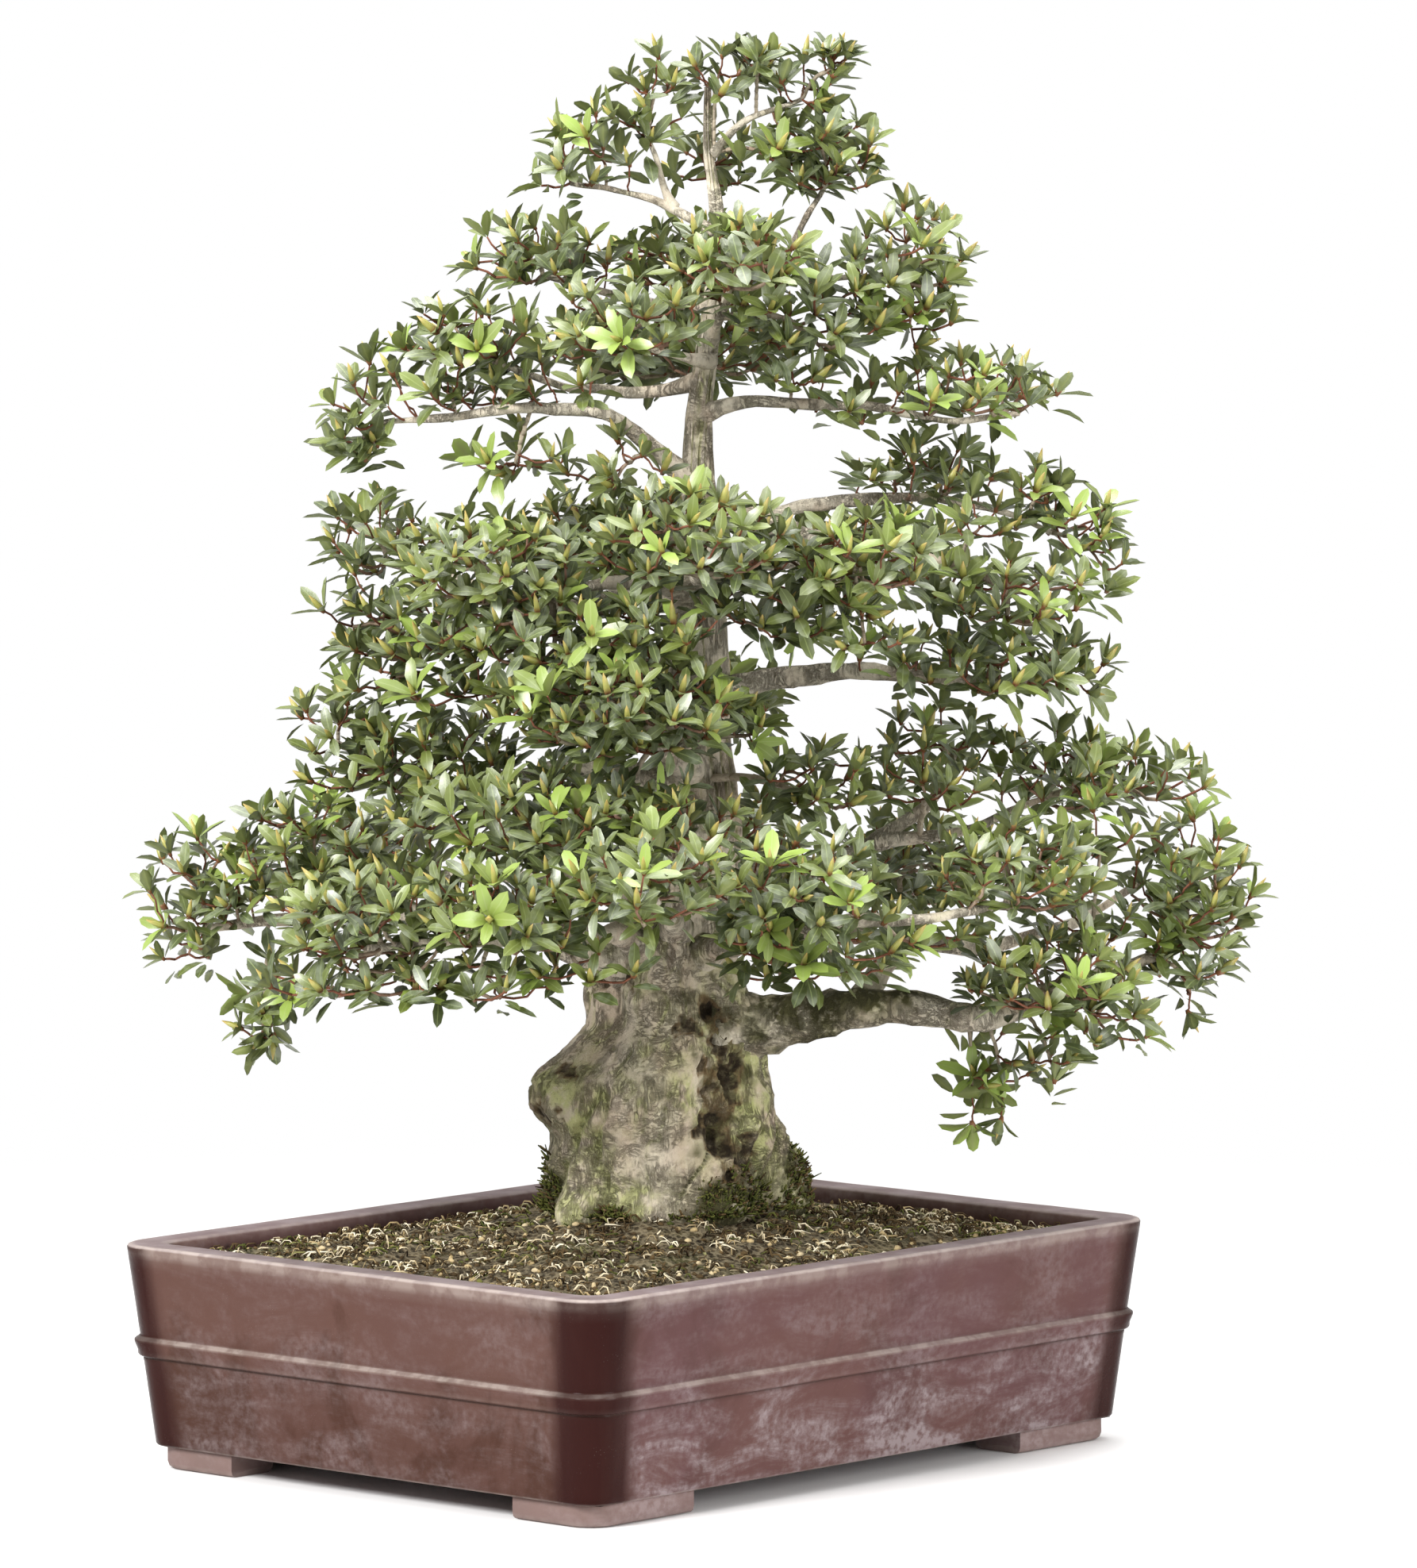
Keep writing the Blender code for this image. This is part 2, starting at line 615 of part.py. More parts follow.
def tube(name, collection, points, radii, sides_step):
    """A tapered limb from a curve with filled caps, made a closed mesh."""
    curve = bpy.data.curves.new(name, "CURVE")
    curve.dimensions = "3D"
    curve.bevel_depth = 1.0
    curve.bevel_resolution = sides_step
    curve.use_fill_caps = True
    spline = curve.splines.new("POLY")
    spline.points.add(len(points) - 1)
    for knot, point, radius in zip(spline.points, points, radii):
        knot.co = (*point, 1.0)
        knot.radius = radius
    guide = bpy.data.objects.new(name, curve)
    collection.objects.link(guide)
    depsgraph = bpy.context.evaluated_depsgraph_get()
    mesh = bpy.data.meshes.new_from_object(guide.evaluated_get(depsgraph))
    bpy.data.objects.remove(guide, do_unlink=True)
    bm = bmesh.new()
    bm.from_mesh(mesh)
    bmesh.ops.remove_doubles(bm, verts=bm.verts, dist=0.01 * MM)
    bmesh.ops.recalc_face_normals(bm, faces=bm.faces)
    bpy.data.meshes.remove(mesh)
    return object_from(bm, name, collection)


def limb_points(limb):
    """A limb's route in metres with the radius at each point."""
    points = [place(point) for point in limb.route]
    lengths = [0.0]
    for before, after in zip(points, points[1:]):
        lengths.append(lengths[-1] + (after - before).length)
    radii = []
    for length in lengths:
        share = (length / lengths[-1]) ** 0.8
        radii.append((limb.root + (limb.tip - limb.root) * share) * MM)
    return points, radii


def twig_routes():
    """One side twig for each spray, from the nearest inner point of a limb to its core."""
    samples = []
    for limb in LIMBS:
        points, radii = limb_points(limb)
        for (before, after), radius in zip(zip(points, points[1:]), radii[1:]):
            for step in range(6):
                samples.append((before.lerp(after, step / 5), radius))
    routes = []
    for pad in PADS:
        goal = place(pad.middle)
        axis = place((*TRUNK_MIDDLE, pad.middle[2]))
        reach = (goal - axis).length

        def cost(sample):
            inner = (sample[0].xy - axis.xy).length
            outside = max(0.0, inner - reach)
            above = max(0.0, sample[0].z - goal.z)
            return (sample[0] - goal).length + 2 * outside + above

        start, radius = min(samples, key=cost)
        if (goal - start).length < TWIG_SPACING:
            continue
        middle = start.lerp(goal, 0.5) + Vector((0, 0, 0.12 * (start - goal).length))
        end = start.lerp(goal, 0.92)
        thick = min(TWIG_RADIUS, radius)
        routes.append(([start, middle, end], [thick, thick * 0.85, thick * 0.6]))
    return routes


def make_wood(name, collection, cutters, extra=0.0):
    """Trunk, limbs and side twigs joined into one body, extra thicker all round."""
    wood = trunk_loft(name, collection, extra)
    limbs = new_collection("limbs", cutters)
    for limb in LIMBS:
        points, radii = limb_points(limb)
        if extra:
            points[-1] += (points[-1] - points[-2]).normalized() * extra
        tube("limb", limbs, points, [radius + extra for radius in radii], 1 if limb.root > 5 else 0)
    for points, radii in twig_routes():
        if extra:
            points[-1] += (points[-1] - points[-2]).normalized() * extra
        tube("twig", limbs, points, [radius + extra for radius in radii], 0)
    add_boolean(wood, "UNION", limbs)
    apply_modifiers(wood)
    remove_objects(limbs)
    keep_largest_body(wood)
    return wood


class Cells:
    """Share of space of each spray, cut by planes between neighbouring sprays."""

    def __init__(self):
        self.middles = [self.stretched(place(pad.middle)) for pad in PADS]
        self.weights = [(pad.reach[0] * MM) ** 2 for pad in PADS]

    @staticmethod
    def stretched(point):
        """The point with its height stretched, so that flat sprays share space fairly."""
        return Vector((point.x, point.y, point.z * HEIGHT_STRETCH))

    def room(self, index, point):
        """Smallest distance from a point to the planes round spray index; below 0 is outside."""
        place_here = self.stretched(point)
        own = (place_here - self.middles[index]).length_squared - self.weights[index]
        least = math.inf
        for other, middle in enumerate(self.middles):
            if other == index:
                continue
            between = (middle - self.middles[index]).length
            if between > NEIGHBOUR_REACH:
                continue
            power = (place_here - middle).length_squared - self.weights[other]
            least = min(least, (power - own) / (2 * between))
        return least


class WoodShape:
    """Distances from a point to the trunk and limbs, for leaves that keep clear of them."""

    def __init__(self):
        self.pieces = []
        rings = [(place((u, w, z)), radius * MM) for z, u, w, radius in TRUNK_RINGS]
        for (low, low_radius), (high, high_radius) in zip(rings, rings[1:]):
            self.pieces.append((low, high, 1.15 * max(low_radius, high_radius)))
        for limb in LIMBS:
            points, radii = limb_points(limb)
            for index, (before, after) in enumerate(zip(points, points[1:])):
                self.pieces.append((before, after, max(radii[index], radii[index + 1])))
        for points, radii in twig_routes():
            for index, (before, after) in enumerate(zip(points, points[1:])):
                self.pieces.append((before, after, max(radii[index], radii[index + 1])))

    def clearance(self, point):
        """Distance from a point to the nearest wood."""
        least = math.inf
        for before, after, radius in self.pieces:
            run = after - before
            share = max(0.0, min(1.0, (point - before).dot(run) / run.length_squared))
            least = min(least, (before + run * share - point).length - radius)
        return least


def core_mesh(index, pad, cells, draw):
    """The twiggy middle of a spray: a rough, notched lump held inside the spray's cell."""
    middle = place(pad.middle)
    width, height = pad.reach[0] * MM * CORE_SHARE, pad.reach[1] * MM * CORE_HEIGHT_SHARE
    bm = bmesh.new()
    bmesh.ops.create_uvsphere(bm, u_segments=CORE_SIDES, v_segments=CORE_RINGS, radius=1.0)
    for point in bm.verts:
        swell = 1 + draw.uniform(-CORE_ROUGHNESS, CORE_ROUGHNESS)
        offset = Vector((point.co.x * width, point.co.y * width, point.co.z * height)) * swell
        while cells.room(index, middle + offset) < CELL_GAP and offset.length > 1 * MM:
            offset *= 0.88
        point.co = middle + offset
    bmesh.ops.triangulate(bm, faces=bm.faces)
    return bm


def blade(root, direction, side, length, width, thickness, sides):
    """A leaf or bud as a flattened double cone, its long axis along direction."""
    normal = direction.cross(side).normalized()
    across = normal.cross(direction).normalized()
    middle = root + direction * (length / 2)
    turn = Matrix((direction, across, normal)).transposed().to_4x4()
    size = Matrix.Diagonal((length / 2, width / 2, thickness / 2, 1.0))
    bm = bmesh.new()
    bmesh.ops.create_uvsphere(
        bm, u_segments=sides, v_segments=2, radius=1.0, matrix=Matrix.Translation(middle) @ turn @ size
    )
    return bm


def blade_fits(bm, index, cells, wood, root):
    """True where a blade stays in its spray's cell and clear of the wood."""
    for point in bm.verts:
        if cells.room(index, point.co) < CELL_GAP:
            return False
        if wood.clearance(point.co) < 1.2 * MM and (point.co - root).length > 2 * LEAF_SUNK:
            return False
    return True


def rosette(collection, index, root, axis, cells, wood, draw):
    """Leaves spread round a pointed bud; returns how many blades found room."""
    helper = Vector((0, 0, 1)) if abs(axis.z) < 0.9 else Vector((1, 0, 0))
    first = axis.cross(helper).normalized()
    second = axis.cross(first).normalized()
    start = draw.uniform(0, math.tau)
    made = []
    for leaf in range(LEAVES_IN_ROSETTE):
        turn = start + math.tau * leaf / LEAVES_IN_ROSETTE + draw.uniform(-0.25, 0.25)
        out = first * math.cos(turn) + second * math.sin(turn)
        opening = draw.uniform(0.75, 1.15)
        direction = (axis * math.cos(opening) + out * math.sin(opening)).normalized()
        side = axis.cross(out).normalized()
        length = LEAF_LENGTH * draw.uniform(0.88, 1.1)
        base = root + out * 1.2 * MM
        made.append(blade(base, direction, side, length, LEAF_WIDTH, LEAF_THICKNESS, LEAF_SIDES))
    made.append(blade(root, axis, first, BUD_LENGTH, BUD_WIDTH, BUD_WIDTH, BUD_SIDES))
    kept = 0
    for bm in made:
        if blade_fits(bm, index, cells, wood, root):
            object_from(bm, "blade", collection)
            kept += 1
        else:
            bm.free()
    return kept


def make_spray(index, pad, parts, cutters, cells, wood, wood_tool, look):
    """One spray: a rough core with rosettes of leaves and buds standing out of it."""
    draw = random.Random(SEED + index)
    bm = core_mesh(index, pad, cells, draw)
    middle = place(pad.middle)
    spots = []
    for face in bm.faces:
        out = face.calc_center_median() - middle
        spots.append((face.calc_center_median(), face.normal.copy(), out))
    spray = object_from(bm, f"spray_{pad.name}", parts)
    leaves = new_collection("leaves", cutters)
    rosettes = min(ROSETTES_MOST, max(2, round(pad.reach[0] * pad.reach[1] / ROSETTE_SHARE)))
    wanted = rosettes * (LEAVES_IN_ROSETTE + 1)
    made = 0
    outward = (middle - place((*TRUNK_MIDDLE, pad.middle[2]))).normalized()
    used = [middle - outward * pad.reach[0] * MM]
    spots = [spot for spot in spots if spot[2].normalized().z > -0.6]
    draw.shuffle(spots)
    while spots and made < wanted:
        farthest = max(spots, key=lambda spot: min((spot[0] - other).length for other in used))
        spots.remove(farthest)
        centre, normal, out = farthest
        axis = (normal * 0.6 + out.normalized() * 0.6 + Vector((0, 0, 0.75)) + outward * 0.35).normalized()
        root = centre - normal * LEAF_SUNK
        added = rosette(leaves, index, root, axis, cells, wood, draw)
        if added:
            used.append(centre)
        made += added
    add_boolean(spray, "UNION", leaves)
    add_boolean(spray, "DIFFERENCE", wood_tool)
    apply_modifiers(spray)
    remove_objects(leaves)
    keep_largest_body(spray)
    return finish(spray, look)


def main():
    """Build the pot, screens, soil, tree and foliage."""
    clear_scene()
    parts = new_collection("satsuki_azalea_bonsai")
    cutters = new_collection("cutters")
    clay = material("clay", (0.16, 0.085, 0.075), 0.55)
    make_pot(parts, cutters, clay)
    make_feet(parts, cutters, clay)
    make_screens(parts, cutters)
    trunk = make_wood("trunk", parts, cutters)
    finish(trunk, material("bark", (0.3, 0.25, 0.2), 0.85))
    wood_tool = make_wood("wood_tool", cutters, cutters, WOOD_GAP)
    make_soil(parts, cutters, wood_tool)
    cells = Cells()
    wood = WoodShape()
    look = material("foliage", (0.09, 0.17, 0.04), 0.45)
    for index, pad in enumerate(PADS):
        make_spray(index, pad, parts, cutters, cells, wood, wood_tool, look)
    bpy.data.objects.remove(wood_tool, do_unlink=True)


main()
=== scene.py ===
"""Fine pieces and finishes of an old satsuki azalea bonsai in its clay pot.

The tree is laid out on its own axes in millimetres: u runs to the right of the side
it is shown from, w runs away from that side and z is up. A turn about Z brings these
onto the pot, whose long side lies along X. Every mesh is worked out with numpy on
grids of two parameters and stays where the solid that it stands for is.
"""

from __future__ import annotations

import itertools
import json
import logging
import math
from dataclasses import dataclass, field
from enum import Enum
from typing import Any, Sequence

import bpy
import numpy as np
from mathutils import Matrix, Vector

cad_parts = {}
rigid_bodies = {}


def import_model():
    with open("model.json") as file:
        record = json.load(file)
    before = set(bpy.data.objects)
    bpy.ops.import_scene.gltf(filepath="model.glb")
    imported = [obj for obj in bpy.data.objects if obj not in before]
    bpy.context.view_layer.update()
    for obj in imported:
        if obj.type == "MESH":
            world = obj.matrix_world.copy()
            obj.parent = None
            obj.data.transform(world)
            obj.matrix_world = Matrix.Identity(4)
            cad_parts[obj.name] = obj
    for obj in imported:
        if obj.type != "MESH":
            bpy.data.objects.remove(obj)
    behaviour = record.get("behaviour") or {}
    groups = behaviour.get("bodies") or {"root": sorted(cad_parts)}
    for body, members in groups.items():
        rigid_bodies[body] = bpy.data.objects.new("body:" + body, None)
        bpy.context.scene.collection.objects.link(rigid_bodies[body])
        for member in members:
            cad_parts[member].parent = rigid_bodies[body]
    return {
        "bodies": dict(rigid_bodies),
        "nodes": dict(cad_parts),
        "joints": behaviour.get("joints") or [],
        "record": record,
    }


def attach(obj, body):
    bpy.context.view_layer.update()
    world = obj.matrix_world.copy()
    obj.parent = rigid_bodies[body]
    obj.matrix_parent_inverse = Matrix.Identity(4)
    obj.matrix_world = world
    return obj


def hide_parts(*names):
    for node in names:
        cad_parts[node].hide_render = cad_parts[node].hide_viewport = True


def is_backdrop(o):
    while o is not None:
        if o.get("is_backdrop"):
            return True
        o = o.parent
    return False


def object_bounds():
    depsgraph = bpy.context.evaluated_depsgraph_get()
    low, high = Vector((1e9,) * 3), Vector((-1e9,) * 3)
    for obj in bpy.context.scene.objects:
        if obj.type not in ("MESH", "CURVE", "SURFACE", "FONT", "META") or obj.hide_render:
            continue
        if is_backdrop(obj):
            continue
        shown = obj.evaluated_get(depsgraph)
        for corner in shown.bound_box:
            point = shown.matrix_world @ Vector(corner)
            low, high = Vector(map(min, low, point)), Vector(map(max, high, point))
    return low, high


LOG = logging.getLogger("bonsai")
MM = 0.001
SEED = 417
VIEW_TURN = math.radians(-47.87)
FLOOR_REACH = 1.5
SMOOTH = 180.0
TRUNK_FOOT = (18, 6, 0)

# Height, middle u, middle w and half-width of the trunk
TRUNK_RINGS = (
    (82, 18, 6, 60),
    (120, 18, 5, 76),
    (144, 17, 4, 79),
    (155, 19, 4, 72),
    (168, 18, 4, 69),
    (181, 15, 4, 67),
    (196, 9, 4, 69),
    (216, 8, 5, 67),
    (234, 16, 6, 57),
    (247, 18, 6, 49),
    (265, 14, 7, 45),
    (308, 21, 8, 34),
    (360, 33, 8, 25),
    (400, 33, 6, 20),
    (456, 35, 4, 17),
    (512, 34, 2, 12.5),
    (588, 34, 0, 8),
    (646, 41, 0, 6),
    (680, 44, 0, 4.8),
    (710, 44, 0, 4),
    (735, 40, 0, 3),
    (776, 39, 0, 1.8),
)
# Direction in degrees round the trunk from u towards the shown side, reach, width
ROOT_LOBES = (
    (-8, 22, 24), (52, 12, 20), (118, 14, 22), (150, 30, 11), (176, 10, 14), (228, 18, 26), (300, 20, 26)
)
# Direction, depth, width in degrees, lowest and highest place of each hollow
HOLLOWS = (
    (55, 9, 13, 162, 266),
    (16, 8, 14, 205, 250),
    (150, 9, 18, 236, 300),
    (262, 12, 22, 175, 240),
)
# Direction, height above the wood, width in degrees, lowest and highest place
KNOBS = (
    (166, 3, 20, 182, 226),
    (96, 6, 26, 178, 330),
    (20, 9, 20, 190, 300),
    (250, 7, 24, 200, 300),
    (-3, 13, 15, 112, 192),
    (178, 10, 17, 116, 184),
)
# Rotted holes on the shown side: u, z, half-width, half-height, depth
HOLES = (
    (34, 189, 6, 7, 7),
    (52, 230, 5, 12, 8),
    (58, 209, 7, 13, 9),
    (49, 187, 7, 8, 8),
    (30, 248, 7, 5, 6),
    (-42, 220, 4, 4, 4),
    (38, 223, 4, 5, 5),
    (-55, 198, 6, 9, 9),
    (44, 254, 6, 8, 6),
    (62, 178, 5, 7, 6),
    (-16, 274, 14, 6, 9),
)

# Tufts of moss round the trunk's foot: direction, width in degrees, height
TUFTS = (
    (176, 14, 34), (2, 11, 38), (46, 26, 30), (66, 12, 26), (126, 9, 6), (232, 18, 26), (300, 16, 26)
)
# Soft lamps: name, place in metres on the tree's own axes, width, power
LAMPS = (
    ("light_left", (-2.2, -2.3, 2.2), 1.3, 210),
    ("light_top", (0.3, 0.2, 3.1), 2.0, 120),
    ("light_right", (2.6, -1.9, 0.9), 1.6, 72),
)

# Limb routes in u, w and z with the radius at the root and at the tip
LIMBS = (
    (((45, 0, 246), (92, -10, 249), (123, -20, 257), (154, -20, 259), (190, -30, 252),
      (225, -30, 262), (268, -20, 278), (308, 0, 290)), 18, 2.4),
    (((38, 30, 297), (88, 40, 322), (134, 52, 344), (172, 55, 374), (181, 50, 398)), 11, 2.4),
    (((123, -20, 258), (155, 30, 286), (201, 50, 283), (245, 50, 296), (285, 30, 322)), 7.5, 2.2),
    (((134, 50, 344), (185, 35, 352), (232, 25, 372)), 5, 2),
    (((33, -12, 287), (73, -90, 302), (112, -130, 315), (155, -125, 318), (205, -90, 322)), 9, 2.2),
    (((2, 0, 280), (-38, -10, 292), (-91, -20, 304), (-145, -20, 311), (-199, -10, 306),
      (-244, 0, 300)), 14, 2.4),
    (((5, -12, 291), (-24, -100, 306), (-63, -150, 308), (-106, -150, 306), (-150, -128, 302)), 9, 2.2),
    (((7, 25, 300), (-29, 90, 314), (-85, 125, 318), (-155, 142, 316)), 9, 2.2),
    (((22, -12, 300), (18, -110, 318), (8, -190, 336)), 9, 2.2),
    (((27, 30, 304), (30, 115, 312), (22, 190, 318)), 9, 2.2),
    (((34, 25, 312), (80, 90, 328), (118, 112, 320), (152, 118, 318)), 8, 2.2),
    (((28, 0, 385), (-20, -10, 390), (-60, -20, 389), (-110, -18, 383), (-145, -8, 396),
      (-170, 0, 405)), 8, 2),
    (((30, -12, 392), (10, -70, 406), (-12, -110, 422)), 7.5, 2),
    (((32, 12, 398), (20, 80, 404), (2, 130, 408)), 7.5, 2),
    (((44, 0, 430), (71, 0, 441), (106, -10, 446), (147, -20, 446), (183, -20, 442),
      (215, -15, 440)), 9, 2),
    (((28, 0, 487), (-6, -20, 491), (-30, -40, 489), (-52, -50, 483), (-90, -40, 478),
      (-128, -22, 462)), 8, 2),
    (((-52, -50, 483), (-100, -25, 500), (-142, -8, 508)), 4, 1.8),
    (((28, -8, 494), (-5, -60, 500), (-45, -85, 497), (-75, -92, 496)), 7, 1.8),
    (((36, -10, 500), (34, -65, 508), (28, -110, 515)), 7, 1.8),
    (((32, 8, 502), (18, 70, 503), (-8, 122, 498)), 6.5, 1.8),
    (((38, 5, 500), (90, 60, 505), (132, 102, 496)), 6, 1.8),
    (((36, 0, 534), (87, -10, 526), (113, -20, 517), (154, -20, 514), (195, -20, 500),
      (212, -22, 492)), 8, 1.8),
    (((38, 8, 531), (77, 25, 536), (116, 32, 541), (158, 26, 543), (205, 15, 536),
      (234, 10, 524)), 6, 1.8),
    (((87, -10, 526), (105, -55, 518), (120, -82, 508)), 4.5, 1.8),
    (((32, 0, 551), (2, -10, 578), (-15, -20, 591), (-52, -30, 597), (-102, -30, 592),
      (-145, -20, 588)), 6.5, 1.6),
    (((38, 0, 612), (15, 8, 604), (-30, 10, 606), (-70, -5, 618), (-95, -12, 626)), 5, 1.6),
    (((36, 6, 596), (28, 50, 610), (15, 88, 616)), 4.5, 1.6),
    (((34, 0, 590), (56, -10, 597), (101, -18, 597), (140, -16, 594), (180, -4, 588),
      (215, 0, 592)), 5, 1.6),
    (((40, -2, 622), (20, -35, 628), (-4, -64, 636)), 4.5, 1.6),
    (((41, -2, 636), (48, -35, 655), (54, -60, 668)), 4, 1.6),
    (((41, 3, 634), (38, 45, 648), (35, 80, 662)), 4, 1.6),
    (((42, 0, 652), (-2, 5, 656), (-30, 2, 664), (-54, 0, 670)), 4, 1.6),
    (((44, 0, 652), (75, -4, 664), (112, -5, 668), (146, -6, 670)), 4, 1.5),
    (((75, -4, 664), (92, 0, 696), (106, 0, 722)), 3, 1.5),
    (((43, 0, 694), (20, 0, 708), (-15, -6, 718), (-38, -10, 722)), 3.4, 1.5),
    (((20, 0, 708), (10, 0, 732), (5, 0, 748)), 2.8, 1.5),
    (((41, 0, 738), (60, 0, 756), (92, 0, 769)), 3, 1.5),
    (((43, 2, 704), (43, 28, 716), (43, 50, 724)), 3, 1.5),
)
# The root that lies half buried in the soil behind the trunk's foot, laid out as the limbs are
ROOTS = (
    (((34, 48, 148), (52, 66, 139), (66, 88, 122)), 9, 3.5),
)

# Sprays of foliage: name, middle in u, w and z, half-width and half-height
PADS = (
    ("apex", (43, 0, 782), (23, 22)),
    ("apex_right", (94, 0, 777), (26, 18)),
    ("crown_left", (5, 0, 757), (27, 20)),
    ("left_tip", (-41, -10, 728), (26, 17)),
    ("crown_right", (108, 0, 728), (34, 22)),
    ("crown_back", (43, 52, 732), (34, 22)),
    ("upper_right", (150, -6, 674), (40, 38)),
    ("upper_front", (56, -64, 680), (42, 24)),
    ("upper_left", (-56, 0, 679), (48, 22)),
    ("upper_left_front", (-6, -72, 646), (46, 25)),
    ("upper_back", (34, 84, 672), (54, 25)),
    ("shoulder_left", (-98, -15, 636), (45, 22)),
    ("shoulder_tip", (-152, -20, 597), (27, 29)),
    ("shoulder_back", (15, 92, 624), (78, 24)),
    ("shelf_right", (188, -4, 605), (56, 19)),
    ("mid_left_tip", (-146, -5, 520), (38, 27)),
    ("mid_left_front", (-80, -98, 512), (55, 30)),
    ("mid_front", (28, -115, 526), (58, 31)),
    ("mid_left_low", (-128, -25, 468), (46, 26)),
    ("mid_back", (-8, 128, 508), (82, 31)),
    ("mid_right_top", (162, 25, 556), (46, 21)),
    ("mid_right_tip", (238, 8, 528), (33, 23)),
    ("mid_right_front", (124, -86, 515), (46, 26)),
    ("mid_right_end", (208, -24, 491), (52, 24)),
    ("mid_right_back", (136, 106, 504), (56, 28)),
    ("mid_right_low", (205, -18, 448), (58, 20)),
    ("low_mid_left_tip", (-170, 0, 415), (35, 25)),
    ("low_mid_left_under", (-116, -22, 396), (52, 27)),
    ("low_mid_front", (-12, -114, 432), (72, 33)),
    ("low_mid_back", (2, 136, 418), (84, 31)),
    ("low_left_tip", (-250, 0, 320), (35, 36)),
    ("low_left", (-184, -25, 345), (48, 32)),
    ("low_left_front", (-150, -122, 316), (56, 31)),
    ("low_left_droop", (-209, -20, 262), (22, 27)),
    ("low_front_left", (-70, -165, 326), (54, 33)),
    ("low_front", (6, -203, 345), (46, 31)),
    ("low_front_right", (86, -158, 336), (52, 31)),
    ("low_back_left", (-166, 146, 322), (59, 31)),
    ("low_back", (22, 200, 325), (82, 32)),
    ("low_right_back", (158, 118, 324), (56, 31)),
    ("low_right_top", (172, 38, 400), (38, 25)),
    ("low_right_upper", (240, 22, 384), (45, 28)),
    ("low_right_front", (210, -78, 338), (54, 31)),
    ("low_right_tip", (312, -4, 316), (42, 52)),
    ("low_right_under", (228, -72, 279), (54, 26)),
    ("low_right_droop", (206, -20, 216), (24, 31)),
)

# Loose growth between the sprays: the spray it belongs to, middle, half-width and half-height
FILLS = (
    ("mid_left_front", (-69, -20, 569), (36, 16)),
    ("mid_left_front", (-13, -30, 563), (34, 18)),
    ("shoulder_tip", (-109, -20, 611), (38, 18)),
    ("shoulder_left", (-82, -10, 602), (30, 12)),
    ("upper_front", (96, -30, 647), (46, 28)),
    ("upper_right", (154, -10, 647), (30, 24)),
    ("upper_front", (56, -40, 670), (34, 24)),
    ("mid_right_front", (86, -70, 489), (52, 28)),
    ("mid_right_front", (126, -90, 473), (30, 16)),
    ("mid_right_tip", (264, 0, 512), (18, 30)),
    ("mid_left_front", (-46, -90, 473), (72, 24)),
    ("mid_front", (20, -120, 480), (34, 24)),
    ("low_mid_front", (-55, -90, 371), (88, 24)),
    ("low_mid_front", (24, -120, 370), (36, 24)),
    ("low_right_top", (100, -40, 385), (46, 22)),
    ("low_right_top", (163, -20, 383), (34, 24)),
    ("low_front_right", (107, -120, 303), (56, 24)),
    ("low_front_right", (68, -160, 316), (30, 20)),
    ("low_left_front", (-156, -100, 281), (60, 13)),
    ("low_front_left", (-89, -150, 284), (46, 14)),
    ("low_front", (-28, -160, 292), (34, 14)),
    ("crown_left", (-20, 0, 742), (34, 22)),
    ("crown_left", (9, 0, 776), (22, 20)),
    ("crown_right", (105, 0, 740), (34, 26)),
    ("low_right_tip", (312, -20, 273), (26, 26)),
    ("low_right_under", (264, -60, 252), (34, 20)),
    ("low_right_upper", (280, 0, 384), (50, 18)),
    ("low_left_tip", (-255, 0, 291), (26, 18)),
    ("mid_left_low", (-126, -50, 442), (38, 16)),
    ("mid_left_low", (-87, -60, 443), (30, 16)),
    ("mid_left_tip", (-161, -10, 480), (24, 26)),
    ("shelf_right", (128, -10, 597), (36, 16)),
    ("shelf_right", (89, -20, 614), (24, 12)),
    ("shoulder_left", (-51, -20, 611), (34, 14)),
    ("shoulder_tip", (-157, -20, 576), (22, 16)),
    ("apex", (67, 0, 790), (14, 12)),
    ("apex_right", (110, 0, 790), (14, 14)),
    ("crown_right", (80, 0, 739), (30, 20)),
    ("mid_right_top", (192, -20, 533), (24, 16)),
    ("mid_right_top", (227, 0, 549), (18, 14)),
    ("mid_right_low", (157, -30, 456), (40, 12)),
    ("mid_right_low", (248, -10, 446), (22, 18)),
    ("low_mid_front", (62, -60, 419), (16, 14)),
    ("low_right_upper", (260, -30, 352), (26, 22)),
    ("low_right_front", (251, -30, 304), (34, 20)),
    ("low_right_front", (155, -80, 305), (40, 16)),
    ("low_front_right", (79, -100, 286), (30, 12)),
    ("low_right_under", (234, -40, 228), (20, 18)),
    ("low_right_droop", (189, -20, 211), (18, 28)),
    ("low_left_tip", (-230, -20, 321), (26, 16)),
    ("low_left_droop", (-213, -20, 244), (18, 14)),
    ("low_mid_left_tip", (-161, -20, 386), (30, 12)),
)


class Side(Enum):
    """Which way the two drain screens lie from the pot's middle."""

    LEFT = -1
    RIGHT = 1


def to_pot(points: Any) -> np.ndarray:
    """Tree places (u, w, z) in millimetres turned onto the pot's axes, in metres."""
    cos, sin = math.cos(VIEW_TURN), math.sin(VIEW_TURN)
    u, w, z = np.moveaxis(np.asarray(points, float), -1, 0)
    return np.stack((u * cos - w * sin, u * sin + w * cos, z), -1) * MM


def unit(vectors: np.ndarray) -> np.ndarray:
    """Vectors scaled to length 1."""
    return vectors / np.maximum(np.linalg.norm(vectors, axis=-1, keepdims=True), 1e-12)


